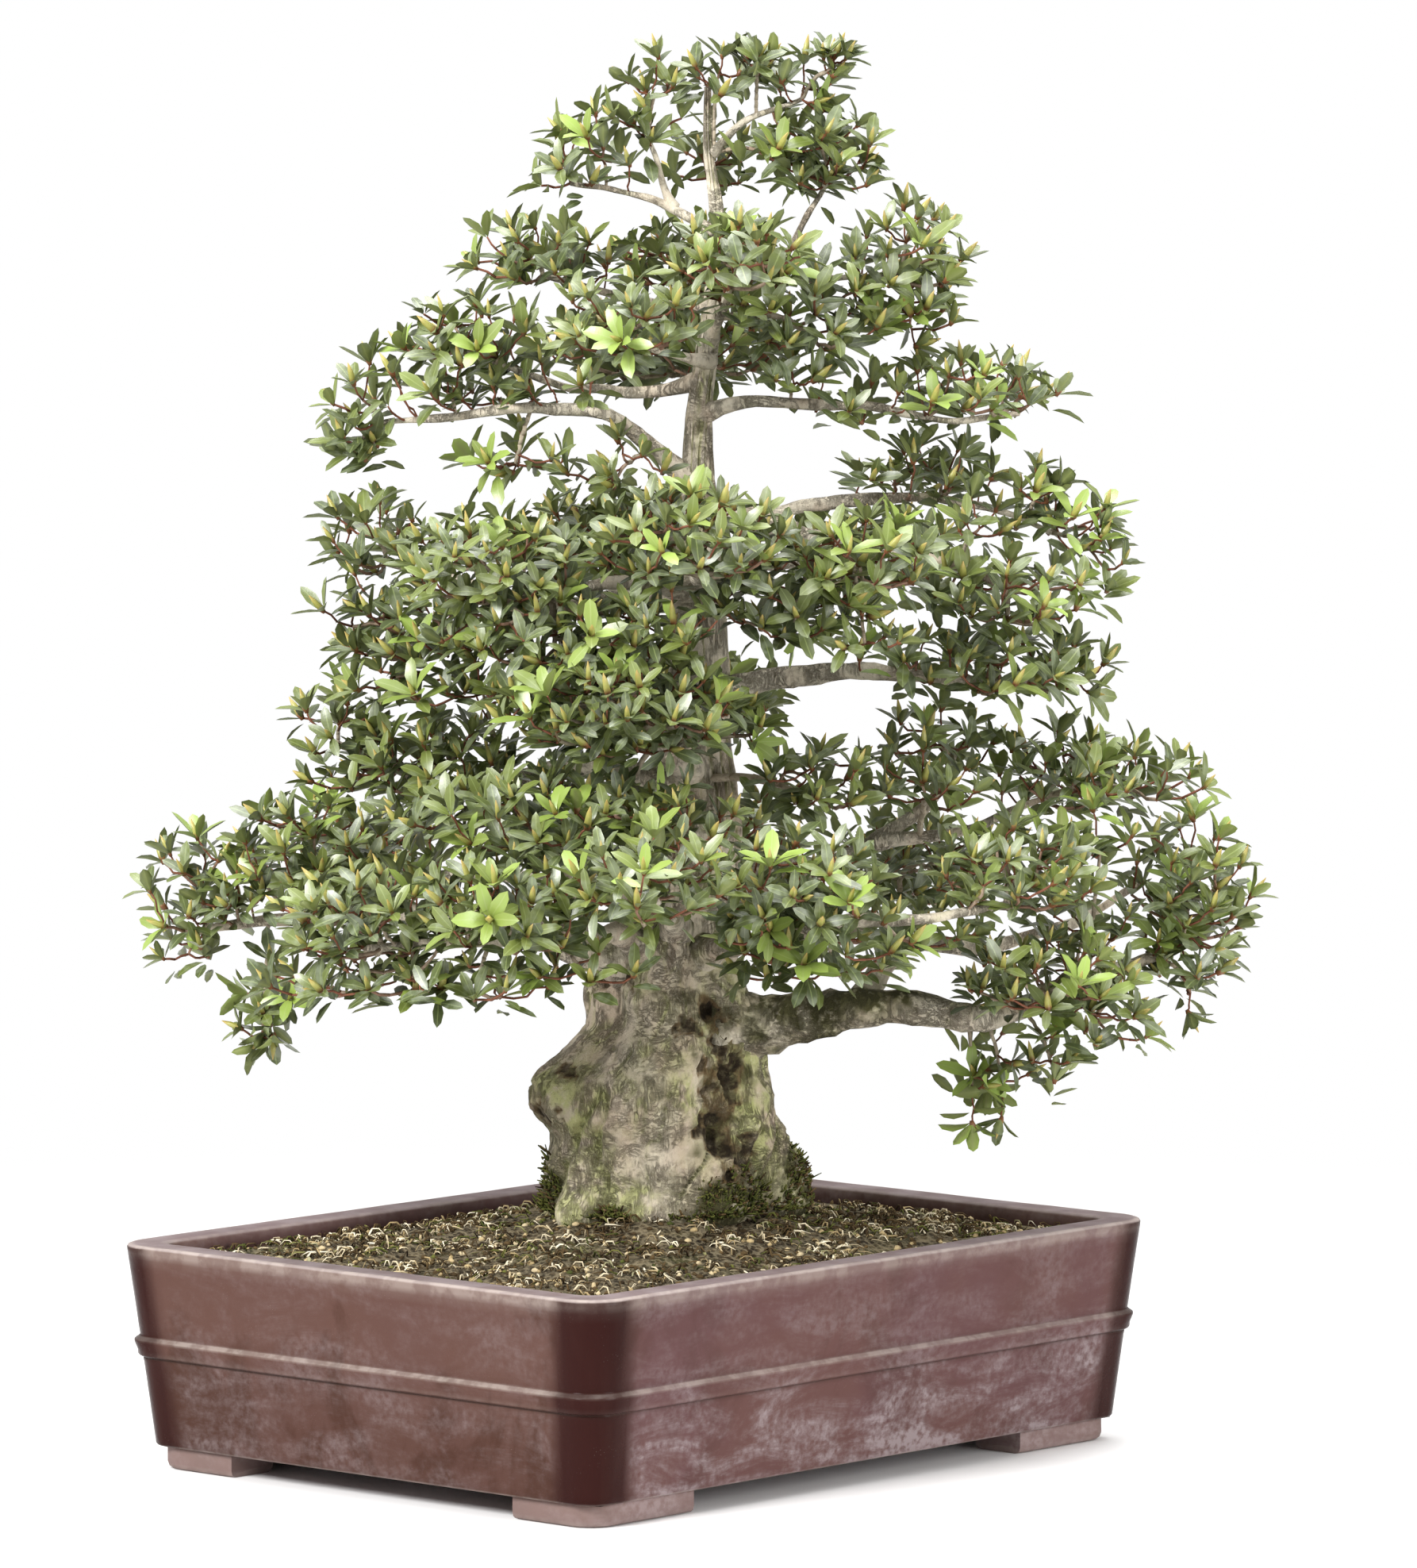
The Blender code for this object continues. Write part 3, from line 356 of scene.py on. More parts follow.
def lattice(cells: np.ndarray, seed: int) -> np.ndarray:
    """Random value from 0 to 1 for each whole-number cell, from mixed integer bits."""
    x, y, z = np.moveaxis(cells.astype(np.int64), -1, 0)
    mixed = (x * 73856093) ^ (y * 19349663) ^ (z * 83492791) ^ (seed * 15485863)
    mixed = ((mixed ^ (mixed >> 13)) * 60493) & 0x7FFFFFFF
    mixed = ((mixed ^ (mixed >> 15)) * 19990303) & 0x7FFFFFFF
    return ((mixed >> 8) & 0xFFFF) / 0xFFFF


def noise(points: np.ndarray, scale: float, seed: int, octaves: int = 3) -> np.ndarray:
    """Smooth noise from about -1 to 1.

    Formula: lattice values blended over each cell with 3t^2 - 2t^3, summed over octaves
    of half the size and half the strength.

    Args:
        points: Places in metres.
        scale: Size of the coarsest cell in metres.
        seed: Number that picks the pattern.
        octaves: How many finer layers are added.

    Returns:
        One value for each place.
    """
    total = np.zeros(points.shape[:-1])
    strength = 1.0
    for octave in range(octaves):
        place = points / scale * 2**octave + 31.7 * octave
        base = np.floor(place)
        part = place - base
        part = part * part * (3 - 2 * part)
        layer = np.zeros_like(total)
        for corner in itertools.product((0, 1), repeat=3):
            weight = np.prod(np.where(corner, part, 1 - part), -1)
            layer += weight * lattice(base + corner, seed + octave)
        total += strength * (2 * layer - 1)
        strength *= 0.5
    return total


def step(values: Any, low: float, high: float) -> np.ndarray:
    """Smooth rise from 0 at low to 1 at high, 3t^2 - 2t^3."""
    t = np.clip((np.asarray(values, float) - low) / (high - low), 0, 1)
    return t * t * (3 - 2 * t)


def bell(off: Any) -> np.ndarray:
    """Bell curve, exp(-off^2)."""
    return np.exp(-(off**2))


def facing(angle: np.ndarray, middle: Any, width: Any) -> np.ndarray:
    """Bell over the turn away from a direction; all three in degrees."""
    return bell(((angle - middle + 180) % 360 - 180) / width)


def circle(count: int) -> np.ndarray:
    """Angles of evenly spaced points round a circle."""
    return np.linspace(0, math.tau, count, endpoint=False)


def hermite(places: np.ndarray, knots: np.ndarray, at: np.ndarray) -> np.ndarray:
    """Smooth values between knots.

    Formula: a cubic Hermite curve, with tangents from the neighbouring knots.

    Args:
        places: Where the knots lie, rising.
        knots: Values, one row for each place.
        at: Where values are wanted.

    Returns:
        The values, one more axis than at.
    """
    slope = np.gradient(knots, places, axis=0)
    index = np.clip(np.searchsorted(places, at, side="right") - 1, 0, len(places) - 2)
    span = np.diff(places)[index][..., None]
    t = (at - places[index])[..., None] / span
    first = (1 + 2 * t) * (1 - t) ** 2 * knots[index] + t**2 * (3 - 2 * t) * knots[index + 1]
    second = t * (1 - t) ** 2 * slope[index] - t**2 * (1 - t) * slope[index + 1]
    return first + span * second


def smooth_path(route: Any, count: int) -> np.ndarray:
    """Evenly spaced points on a smooth curve over the chord length of a route."""
    knots = np.asarray(route, float)
    chord = np.linalg.norm(np.diff(knots, axis=0), axis=1)
    length = np.concatenate(([0.0], np.cumsum(chord)))
    return hermite(length, knots, np.linspace(0, length[-1], count))


def grid_faces(rows: int, columns: int, wrap: bool = False) -> np.ndarray:
    """Quads between neighbouring rows and columns; with wrap the last column meets the first."""
    index = np.arange(rows * columns).reshape(rows, columns)
    if wrap:
        index = np.concatenate((index, index[:, :1]), 1)
    corners = (index[:-1, :-1], index[:-1, 1:], index[1:, 1:], index[1:, :-1])
    return np.stack(corners, -1).reshape(-1, 4)


def shell_faces(stations: int, sides: int) -> tuple[np.ndarray, np.ndarray]:
    """Quads round a tube, and triangles that close its ends on two poles after its points."""
    here = np.arange(sides)
    after = (here + 1) % sides
    size = stations * sides
    last = size - sides
    start = np.stack((np.full(sides, size), after, here), -1)
    end = np.stack((np.full(sides, size + 1), last + here, last + after), -1)
    return grid_faces(stations, sides, wrap=True), np.concatenate((start, end))


@dataclass
class Skin:
    """Points, faces and point values gathered for one piece."""

    points: list[np.ndarray] = field(default_factory=list)
    faces: list[np.ndarray] = field(default_factory=list)
    values: dict[str, list[np.ndarray]] = field(default_factory=dict)
    count: int = 0

    def add(self, points: np.ndarray, faces: Sequence[np.ndarray], **values: Any) -> None:
        """Add a block of points with its faces.

        Args:
            points: Places in metres, any shape that ends in 3.
            faces: Arrays of three or four indices into these points.
            values: A number or an array for each named value of the points.
        """
        flat = np.asarray(points, float).reshape(-1, 3)
        self.points.append(flat)
        for block in faces:
            self.faces.append(block + self.count)
        for name, value in values.items():
            full = np.broadcast_to(np.asarray(value, float).reshape(-1), (len(flat),))
            self.values.setdefault(name, []).append(full)
        self.count += len(flat)

    def piece(self, name: str, look: bpy.types.Material, crease: float = SMOOTH) -> bpy.types.Object:
        """Put the gathered arrays into a mesh object.

        Args:
            name: Name of the piece.
            look: Its finish.
            crease: Angle in degrees above which an edge stays sharp.

        Returns:
            The object, at the origin.
        """
        mesh = bpy.data.meshes.new(name)
        points = np.concatenate(self.points)
        mesh.vertices.add(len(points))
        mesh.vertices.foreach_set("co", points.astype(np.float32).ravel())
        corners = np.concatenate([block.ravel() for block in self.faces]).astype(np.int32)
        sizes = np.concatenate([np.full(len(block), block.shape[1]) for block in self.faces])
        starts = np.concatenate(([0], np.cumsum(sizes)[:-1])).astype(np.int32)
        mesh.loops.add(len(corners))
        mesh.loops.foreach_set("vertex_index", corners)
        mesh.polygons.add(len(sizes))
        mesh.polygons.foreach_set("loop_start", starts)
        mesh.update(calc_edges=True)
        mesh.validate()
        mesh.shade_smooth()
        if crease < SMOOTH:
            mesh.set_sharp_from_angle(angle=math.radians(crease))
        for trait, blocks in self.values.items():
            layer = mesh.attributes.new(trait, "FLOAT", "POINT")
            layer.data.foreach_set("value", np.concatenate(blocks).astype(np.float32))
        mesh.materials.append(look)
        made = bpy.data.objects.new(name, mesh)
        bpy.context.scene.collection.objects.link(made)
        LOG.info("%s: %d points, %d faces", name, len(points), len(sizes))
        return made


def repeated(faces: Sequence[np.ndarray], count: int, size: int) -> list[np.ndarray]:
    """Faces of one shape laid out for many copies of it, each with size points."""
    shift = (np.arange(count) * size)[:, None, None]
    return [(block[None] + shift).reshape(-1, block.shape[1]) for block in faces]


def tube_shell(paths: np.ndarray, radii: np.ndarray, sides: int) -> tuple[np.ndarray, list[np.ndarray]]:
    """Closed tubes along many paths at once.

    Formula: each path point carries a circle, p + r (a cos t + b sin t), on two
    directions a and b square to the path; both ends close to a point.

    Args:
        paths: Tubes by stations by 3, in metres.
        radii: Tubes by stations, in metres.
        sides: Points round each circle.

    Returns:
        The points, tubes by stations * sides + 2 by 3, and the faces.
    """
    tubes, stations, _ = paths.shape
    along = unit(np.gradient(paths, axis=1))
    mean = np.abs(unit(paths[:, -1] - paths[:, 0]))
    helper = np.eye(3)[np.argmin(mean, axis=-1)][:, None, :]
    first = unit(np.cross(along, np.broadcast_to(helper, along.shape)))
    second = np.cross(along, first)
    turn = circle(sides)[:, None]
    ring = first[:, :, None] * np.cos(turn) + second[:, :, None] * np.sin(turn)
    body = paths[:, :, None] + ring * radii[:, :, None, None]
    poles = np.stack((paths[:, 0], paths[:, -1] + along[:, -1] * radii[:, -1:] * 0.6), 1)
    points = np.concatenate((body.reshape(tubes, -1, 3), poles), 1)
    return points, repeated(shell_faces(stations, sides), tubes, points.shape[1])


class Wire:
    """A number on a socket; arithmetic on it adds Math nodes."""

    def __init__(self, book: "Book", socket: Any) -> None:
        """Keep the material's node book and the socket."""
        self.book = book
        self.socket = socket

    def _math(self, operation: str, first: Any, second: Any) -> "Wire":
        """One Math node on two numbers or wires."""
        return self.book.node("Math", {"operation": operation}, {0: first, 1: second})

    def __add__(self, other: Any) -> "Wire":
        """Sum."""
        return self._math("ADD", self, other)

    def __radd__(self, other: Any) -> "Wire":
        """Sum with a number first."""
        return self._math("ADD", other, self)

    def __sub__(self, other: Any) -> "Wire":
        """Difference."""
        return self._math("SUBTRACT", self, other)

    def __rsub__(self, other: Any) -> "Wire":
        """Difference with a number first."""
        return self._math("SUBTRACT", other, self)

    def __mul__(self, other: Any) -> "Wire":
        """Product."""
        return self._math("MULTIPLY", self, other)

    def __rmul__(self, other: Any) -> "Wire":
        """Product with a number first."""
        return self._math("MULTIPLY", other, self)

    def least(self, other: Any) -> "Wire":
        """The smaller of two."""
        return self._math("MINIMUM", self, other)

    def size(self) -> "Wire":
        """The number without its sign."""
        return self._math("ABSOLUTE", self, 0.0)

    def rise(self, low: float, high: float) -> "Wire":
        """Smooth rise from 0 at low to 1 at high."""
        settings = {"interpolation_type": "SMOOTHSTEP"}
        return self.book.node("MapRange", settings, {0: self, 1: low, 2: high, 3: 0.0, 4: 1.0})


class Book:
    """The nodes of one finish, written as expressions."""

    def __init__(self, name: str) -> None:
        """Start a material with its Principled shader and output."""
        self.material = bpy.data.materials.new(name)
        self.material.use_nodes = True
        self.nodes = self.material.node_tree.nodes
        self.links = self.material.node_tree.links
        self.shader = self.nodes["Principled BSDF"]

    def node(
        self, kind: str, settings: dict[str, Any], sockets: dict[Any, Any], output: Any = 0
    ) -> Wire:
        """Add a node: its settings first, then the values or links of its sockets.

        Args:
            kind: Type of the node without its prefix.
            settings: Attributes of the node; a key "stops" fills a colour ramp.
            sockets: Input name or index to number, colour or wire.
            output: Name or index of the output wanted.

        Returns:
            The output as a wire.
        """
        made = self.nodes.new("ShaderNode" + kind)
        for name, value in settings.items():
            if name == "stops":
                self.fill_ramp(made.color_ramp, value)
            else:
                setattr(made, name, value)
        for key, value in sockets.items():
            self.put(made.inputs[key], value)
        return Wire(self, made.outputs[output])

    def put(self, socket: Any, value: Any) -> None:
        """Link a wire to a socket, or set the socket's own value."""
        if isinstance(value, Wire):
            self.links.new(value.socket, socket)
        elif isinstance(value, tuple) and socket.type == "RGBA":
            socket.default_value = (*value, 1.0)
        else:
            socket.default_value = value

    @staticmethod
    def fill_ramp(ramp: Any, stops: Sequence[tuple[float, tuple[float, float, float]]]) -> None:
        """Set a ramp's stops from places and colours."""
        while len(ramp.elements) < len(stops):
            ramp.elements.new(0.5)
        for element, (place, colour) in zip(ramp.elements, stops):
            element.position = place
            element.color = (*colour, 1.0)

    def mix(self, share: Any, first: Any, second: Any) -> Wire:
        """Blend two colours by a share."""
        return self.node("Mix", {"data_type": "RGBA"}, {0: share, 6: first, 7: second}, 2)

    def value(self, name: str) -> Wire:
        """A named value of the mesh."""
        return self.node("Attribute", {"attribute_name": name}, {}, "Fac")

    def place(self) -> Wire:
        """Object coordinates."""
        return self.node("TexCoord", {}, {}, "Object")

    def along(self, axis: int) -> Wire:
        """Object coordinate on one axis, in metres."""
        return self.node("SeparateXYZ", {}, {0: self.place()}, axis)

    def stretched(self, stretch: tuple[float, float, float] = (1, 1, 1)) -> Wire:
        """Object coordinates, stretched."""
        return self.node("Mapping", {}, {"Vector": self.place(), "Scale": stretch})

    def cloud(
        self, scale: float, detail: float = 3, stretch: tuple[float, float, float] = (1, 1, 1),
        roughness: float = 0.55, distortion: float = 0.0,
    ) -> Wire:
        """Noise from 0 to 1 over Object coordinates."""
        sockets = {
            "Vector": self.stretched(stretch), "Scale": scale, "Detail": detail,
            "Roughness": roughness, "Distortion": distortion,
        }
        return self.node("TexNoise", {}, sockets, 0)

    def cells(self, scale: float) -> Wire:
        """Distance pattern of scattered cells over Object coordinates."""
        return self.node("TexVoronoi", {}, {"Vector": self.stretched(), "Scale": scale})

    def finish(
        self, colour: Any, roughness: Any, height: Any = None, strength: float = 0.5,
        depth: float = 0.001, **fixed: float,
    ) -> bpy.types.Material:
        """Wire the shader.

        Args:
            colour: Base colour.
            roughness: Roughness.
            height: Relief for the bump, 0 to 1.
            strength: Strength of the bump.
            depth: Height of the relief in metres.
            fixed: Sockets of the shader with one number each.

        Returns:
            The material.
        """
        self.put(self.shader.inputs["Base Color"], colour)
        self.put(self.shader.inputs["Roughness"], roughness)
        for name, number in fixed.items():
            self.shader.inputs[name.replace("_", " ")].default_value = number
        if height is not None:
            sockets = {"Height": height, "Strength": strength, "Distance": depth}
            self.put(self.shader.inputs["Normal"], self.node("Bump", {}, sockets))
        return self.material


@dataclass(frozen=True)
class ClayFinish:
    """Reddish unglazed clay with a chalky bloom, paler worn edges, painted shade in its grooves and
    recesses, a painted highlight on the belt's upper chamfer, a rim top paled partly by painted light, and
    dark polished corners that are partly a painted dark reflection.
    """

    red: tuple = (0.092, 0.045, 0.040)
    purple: tuple = (0.088, 0.043, 0.043)
    brown: tuple = (0.070, 0.036, 0.027)
    bloom_and_sheen: tuple = (0.27, 0.225, 0.23)
    worn_and_highlight: tuple = (0.42, 0.36, 0.32)
    polished_dark_reflection: tuple = (0.020, 0.005, 0.004)

    def make(self) -> bpy.types.Material:
        """Build the material."""
        book = Book("clay")
        height = book.along(2)
        short = book.along(0).size().rise(0.19, 0.23)
        broad = book.cloud(9, 4, distortion=0.4)
        tint = book.mix(broad.rise(0.38, 0.64), self.red, self.purple)
        tint = book.mix(short * 0.75, tint, self.brown)
        blotch = book.cloud(17, 5, (1, 1, 0.7), 0.6, 0.5)
        low = 1 - height.rise(0.03, 0.09)
        dim = blotch.rise(0.48, 0.64) * (0.3 + 0.4 * short) + 0.4 * short * low
        tint = book.mix(dim.least(0.9), tint, (0.042, 0.018, 0.012))
        fine = book.cloud(230, 5)
        smear = book.cloud(34, 6, (0.45, 0.45, 1.2), 0.7, 0.5).rise(0.36, 0.76)
        amount = smear * (0.34 + 1.05 * low * (1 - 0.85 * short) - 0.1 * short) * fine.rise(0.2, 0.75)
        corner = book.value("corner")
        tint = book.mix((amount * (1 - corner)).least(0.7), tint, self.bloom_and_sheen)
        # Darker, glossier corners: partly polish that has rubbed the bloom off, partly a painted dark
        # reflection.
        polish_and_reflection = (corner * (0.8 + 0.4 * book.cloud(60, 3, (1, 1, 0.12)))).least(1)
        tint = book.mix(polish_and_reflection, tint, self.polished_dark_reflection)
        specks = (1 - book.cells(650).rise(0.04, 0.14)) * book.cloud(60, 2).rise(0.54, 0.68)
        tint = book.mix(specks * 0.22, tint, self.worn_and_highlight)
        # The rim's top face paled towards the bloom colour: partly its own bloom, partly painted light on
        # the upward face.
        top = height.rise(0.1262, 0.1272)
        tint = book.mix(top * (0.4 + 0.3 * book.cloud(40, 5).rise(0.35, 0.65)), tint, self.bloom_and_sheen)
        # Pale worn edges and feet; on the belt's upper chamfer this paleness is a painted highlight.
        wear = book.value("wear") * (0.45 + 0.4 * book.cloud(90, 5).rise(0.4, 0.6)) * (1 - 0.7 * corner)
        tint = book.mix(wear * 0.75, tint, self.worn_and_highlight)
        # Painted shade in grooves and recesses: under the belt, in the notches, inside the pot and in the
        # drains.
        tint = book.mix(book.value("groove") * 0.75, tint, (0.03, 0.018, 0.014))
        foot = 1 - height.rise(0.011, 0.0145)
        tint = book.mix(foot * 0.5, tint, (0.25, 0.18, 0.165))
        rough = 0.46 + 0.2 * fine + 0.2 * amount - 0.36 * corner
        relief = book.cloud(260, 4) * 0.6 + fine * 0.4 + 0.4 * book.cloud(60, 4, (0.5, 0.5, 1.2))
        return book.finish(tint, rough, relief, 0.4, 0.0006, Specular_IOR_Level=0.05)


@dataclass(frozen=True)
class BarkFinish:
    """Pale grey-pink bark with fine fissures, olive algae in its grooves, painted shade in the deepest
    grooves, brown rot and moss; on a low limb and a root the moss value also carries painted shade.
    """

    pale: tuple = (0.64, 0.56, 0.44)
    pink: tuple = (0.53, 0.42, 0.32)
    grey: tuple = (0.40, 0.35, 0.25)
    ridge: tuple = (0.76, 0.70, 0.57)
    dark: tuple = (0.095, 0.070, 0.034)
    brown: tuple = (0.16, 0.105, 0.048)
    rot: tuple = (0.028, 0.018, 0.008)
    algae: tuple = (0.42, 0.44, 0.17)
    moss: tuple = (0.060, 0.056, 0.014)
    lichen: tuple = (0.66, 0.60, 0.48)

    def make(self) -> bpy.types.Material:
        """Build the material."""
        book = Book("bark")
        broad = book.cloud(26, 5, (1, 1, 0.45), 0.6, 0.6)
        tint = book.mix(broad.rise(0.36, 0.62), self.pink, self.pale)
        tint = book.mix(book.cloud(70, 5, (1, 1, 0.5)).rise(0.5, 0.7) * 0.5, tint, self.grey)
        limb = book.value("limb")
        tint = book.mix(limb * book.cloud(36, 4).rise(0.34, 0.6) * 0.8, tint, self.lichen)
        groove = book.value("groove")
        hollow = groove.rise(0.45, 0.95)
        crest = (1 - groove).rise(0.55, 0.95) * book.cloud(48, 4).rise(0.4, 0.65)
        tint = book.mix(crest * 0.6, tint, self.ridge)
        tint = book.mix(hollow * (0.25 + 0.6 * book.cloud(60, 4).rise(0.36, 0.62)), tint, self.algae)
        # Painted shade: the deepest grooves are darkened.
        tint = book.mix(groove.rise(0.8, 1.1) * 0.6, tint, self.dark)
        thread = book.cloud(230, 6, (1, 1, 0.25), 0.65, 0.7)
        fissure = 1 - ((thread - 0.5).size() * 14).least(1)
        fissure = fissure * book.cloud(60, 3).rise(0.4, 0.6)
        check = book.cloud(210, 6, (0.5, 0.5, 1.2), 0.7, 0.6)
        crossing = 1 - ((check - 0.5).size() * 18).least(1)
        crossing = crossing * book.cloud(38, 3).rise(0.46, 0.62)
        fine = book.cloud(430, 6, (1, 1, 0.6), 0.65)
        algae = book.value("algae") * book.cloud(90, 4).rise(0.32, 0.58)
        tint = book.mix(algae * 0.8, tint, self.algae)
        tint = book.mix(fissure * 0.5, tint, self.dark)
        tint = book.mix(crossing * 0.5, tint, self.dark)
        tint = book.mix(fine.rise(0.54, 0.72) * 0.5, tint, self.dark)
        tint = book.mix((1 - fine).rise(0.54, 0.76) * 0.35, tint, self.ridge)
        moss = book.value("moss") * book.cloud(120, 4).rise(0.3, 0.5)
        tint = book.mix(moss.least(0.95), tint, self.moss)
        rot = book.value("rot")
        ragged = book.cloud(170, 5).rise(0.36, 0.6)
        tint = book.mix(rot.rise(0.05, 0.4) * (0.35 + 0.6 * ragged), tint, self.brown)
        tint = book.mix(rot.rise(0.4, 0.9) * (0.7 + 0.3 * ragged), tint, self.rot)
        relief = fine * 0.7 + book.cloud(150, 5, (1, 1, 0.4)) * 0.8 - fissure * 0.6 - crossing * 0.4
        return book.finish(tint, 0.86, relief, 1.0, 0.002, Specular_IOR_Level=0.3)


@dataclass(frozen=True)
class TwigFinish:
    """Twigs, red-brown when young and grey-brown when older."""

    young: tuple = (0.165, 0.058, 0.030)
    old: tuple = (0.40, 0.34, 0.25)

    def make(self) -> bpy.types.Material:
        """Build the material."""
        book = Book("twig")
        fine = book.cloud(500, 4)
        tint = book.mix(book.value("age"), self.young, self.old)
        tint = book.mix(fine.rise(0.45, 0.75) * 0.5, tint, (0.07, 0.045, 0.026))
        return book.finish(tint, 0.78, fine, 0.5, 0.0005, Specular_IOR_Level=0.3)


@dataclass(frozen=True)
class LeafFinish:
    """Small leathery leaves: light yellow-green when fresh, deep green with age, with pale grey-green
    patches on older upper sides that are partly their own tone and partly a painted sheen.
    """

    fresh: tuple = (0.26, 0.36, 0.070)
    middle: tuple = (0.138, 0.172, 0.034)
    old: tuple = (0.056, 0.076, 0.021)
    under: tuple = (0.22, 0.25, 0.08)
    bloom_and_sheen: tuple = (0.31, 0.35, 0.25)

    def make(self) -> bpy.types.Material:
        """Build the material."""
        book = Book("leaf")
        age = book.value("age")
        tint = book.mix(age.rise(0.0, 0.5), self.fresh, self.middle)
        tint = book.mix(age.rise(0.45, 1.0), tint, self.old)
        rib = 1 - book.value("across").size().rise(0.0, 0.16)
        tint = book.mix(rib * 0.5, tint, (0.30, 0.36, 0.13))
        edge = book.value("across").size().rise(0.8, 1.0)
        tint = book.mix(edge * 0.15, tint, (0.30, 0.30, 0.10))
        tint = book.mix(book.value("under") * 0.85, tint, self.under)
        # Pale grey-green patches on the upper sides of older leaves: partly their own tone, partly a
        # painted sheen.
        bloom_and_sheen = book.cloud(110, 3).rise(0.44, 0.66) * age.rise(0.3, 0.6) * (1 - book.value("under"))
        tint = book.mix(bloom_and_sheen * 0.36, tint, self.bloom_and_sheen)
        tint = book.mix(book.cloud(380, 3).rise(0.55, 0.8) * 0.15, tint, (0.28, 0.27, 0.10))
        rough = 0.30 + 0.16 * book.cloud(300, 3) + 0.24 * book.value("under")
        relief = book.cloud(900, 3)
        return book.finish(tint, rough, relief, 0.25, 0.0003, Specular_IOR_Level=0.75)


@dataclass(frozen=True)
class BudFinish:
    """Pointed flower buds, yellow-green with red-brown scales at the foot."""

    tip: tuple = (0.40, 0.29, 0.080)
    body: tuple = (0.33, 0.32, 0.080)
    scale: tuple = (0.19, 0.075, 0.030)

    def make(self) -> bpy.types.Material:
        """Build the material."""
        book = Book("bud")
        along = book.value("along")
        tint = book.mix(along.rise(0.15, 0.42), self.scale, self.body)
        tint = book.mix(along.rise(0.55, 0.95), tint, self.tip)
        streak = book.cloud(700, 2)
        tint = book.mix(streak.rise(0.5, 0.8) * 0.2, tint, self.scale)
        return book.finish(tint, 0.42, streak, 0.3, 0.0003, Specular_IOR_Level=0.5)


@dataclass(frozen=True)
class SoilFinish:
    """Dark granular soil."""

    def make(self) -> bpy.types.Material:
        """Build the material."""
        book = Book("soil")
        grain = book.cells(320)
        crumb = book.cloud(120, 5)
        tint = book.mix(crumb.rise(0.36, 0.70), (0.018, 0.012, 0.006), (0.12, 0.09, 0.05))
        tint = book.mix(book.cloud(18, 3).rise(0.5, 0.66) * 0.5, tint, (0.060, 0.062, 0.018))
        tint = book.mix(grain.rise(0.35, 0.6) * 0.4, tint, (0.30, 0.25, 0.16))
        return book.finish(tint, 0.95, crumb + grain * 0.7, 1.0, 0.003, Specular_IOR_Level=0.2)


@dataclass(frozen=True)
class MossFinish:
    """Strands of moss, straw-coloured to green."""

    def make(self) -> bpy.types.Material:
        """Build the material."""
        book = Book("moss")
        stops = (
            (0.0, (0.026, 0.016, 0.007)),
            (0.18, (0.12, 0.076, 0.031)),
            (0.38, (0.46, 0.35, 0.18)),
            (0.60, (0.90, 0.82, 0.62)),
            (0.74, (0.17, 0.165, 0.042)),
            (0.88, (0.095, 0.105, 0.022)),
            (1.0, (0.045, 0.056, 0.012)),
        )
        tint = book.node("ValToRGB", {"stops": stops}, {0: book.value("tone")})
        tint = book.mix(book.cloud(300, 3).rise(0.4, 0.8) * 0.3, tint, (0.05, 0.035, 0.016))
        return book.finish(tint, 0.9, book.cloud(900, 2), 0.4, 0.0004, Specular_IOR_Level=0.2)


@dataclass(frozen=True)
class ScreenFinish:
    """Moulded black mesh over the drain holes."""

    def make(self) -> bpy.types.Material:
        """Build the material."""
        book = Book("screen")
        fine = book.cloud(700, 3)
        tint = book.mix(fine, (0.020, 0.020, 0.020), (0.045, 0.043, 0.040))
        return book.finish(tint, 0.55 + 0.15 * fine, fine, 0.3, 0.0003)


@dataclass(frozen=True)
class FloorFinish:
    """Plain pale studio floor that fades out all round."""

    def make(self) -> bpy.types.Material:
        """Build the material."""
        book = Book("floor")
        off = book.node("VectorMath", {"operation": "LENGTH"}, {0: book.place()}, "Value")
        book.put(book.shader.inputs["Alpha"], 1 - off.rise(0.25, 0.95 * FLOOR_REACH))
        return book.finish((0.86, 0.855, 0.85), 0.7)


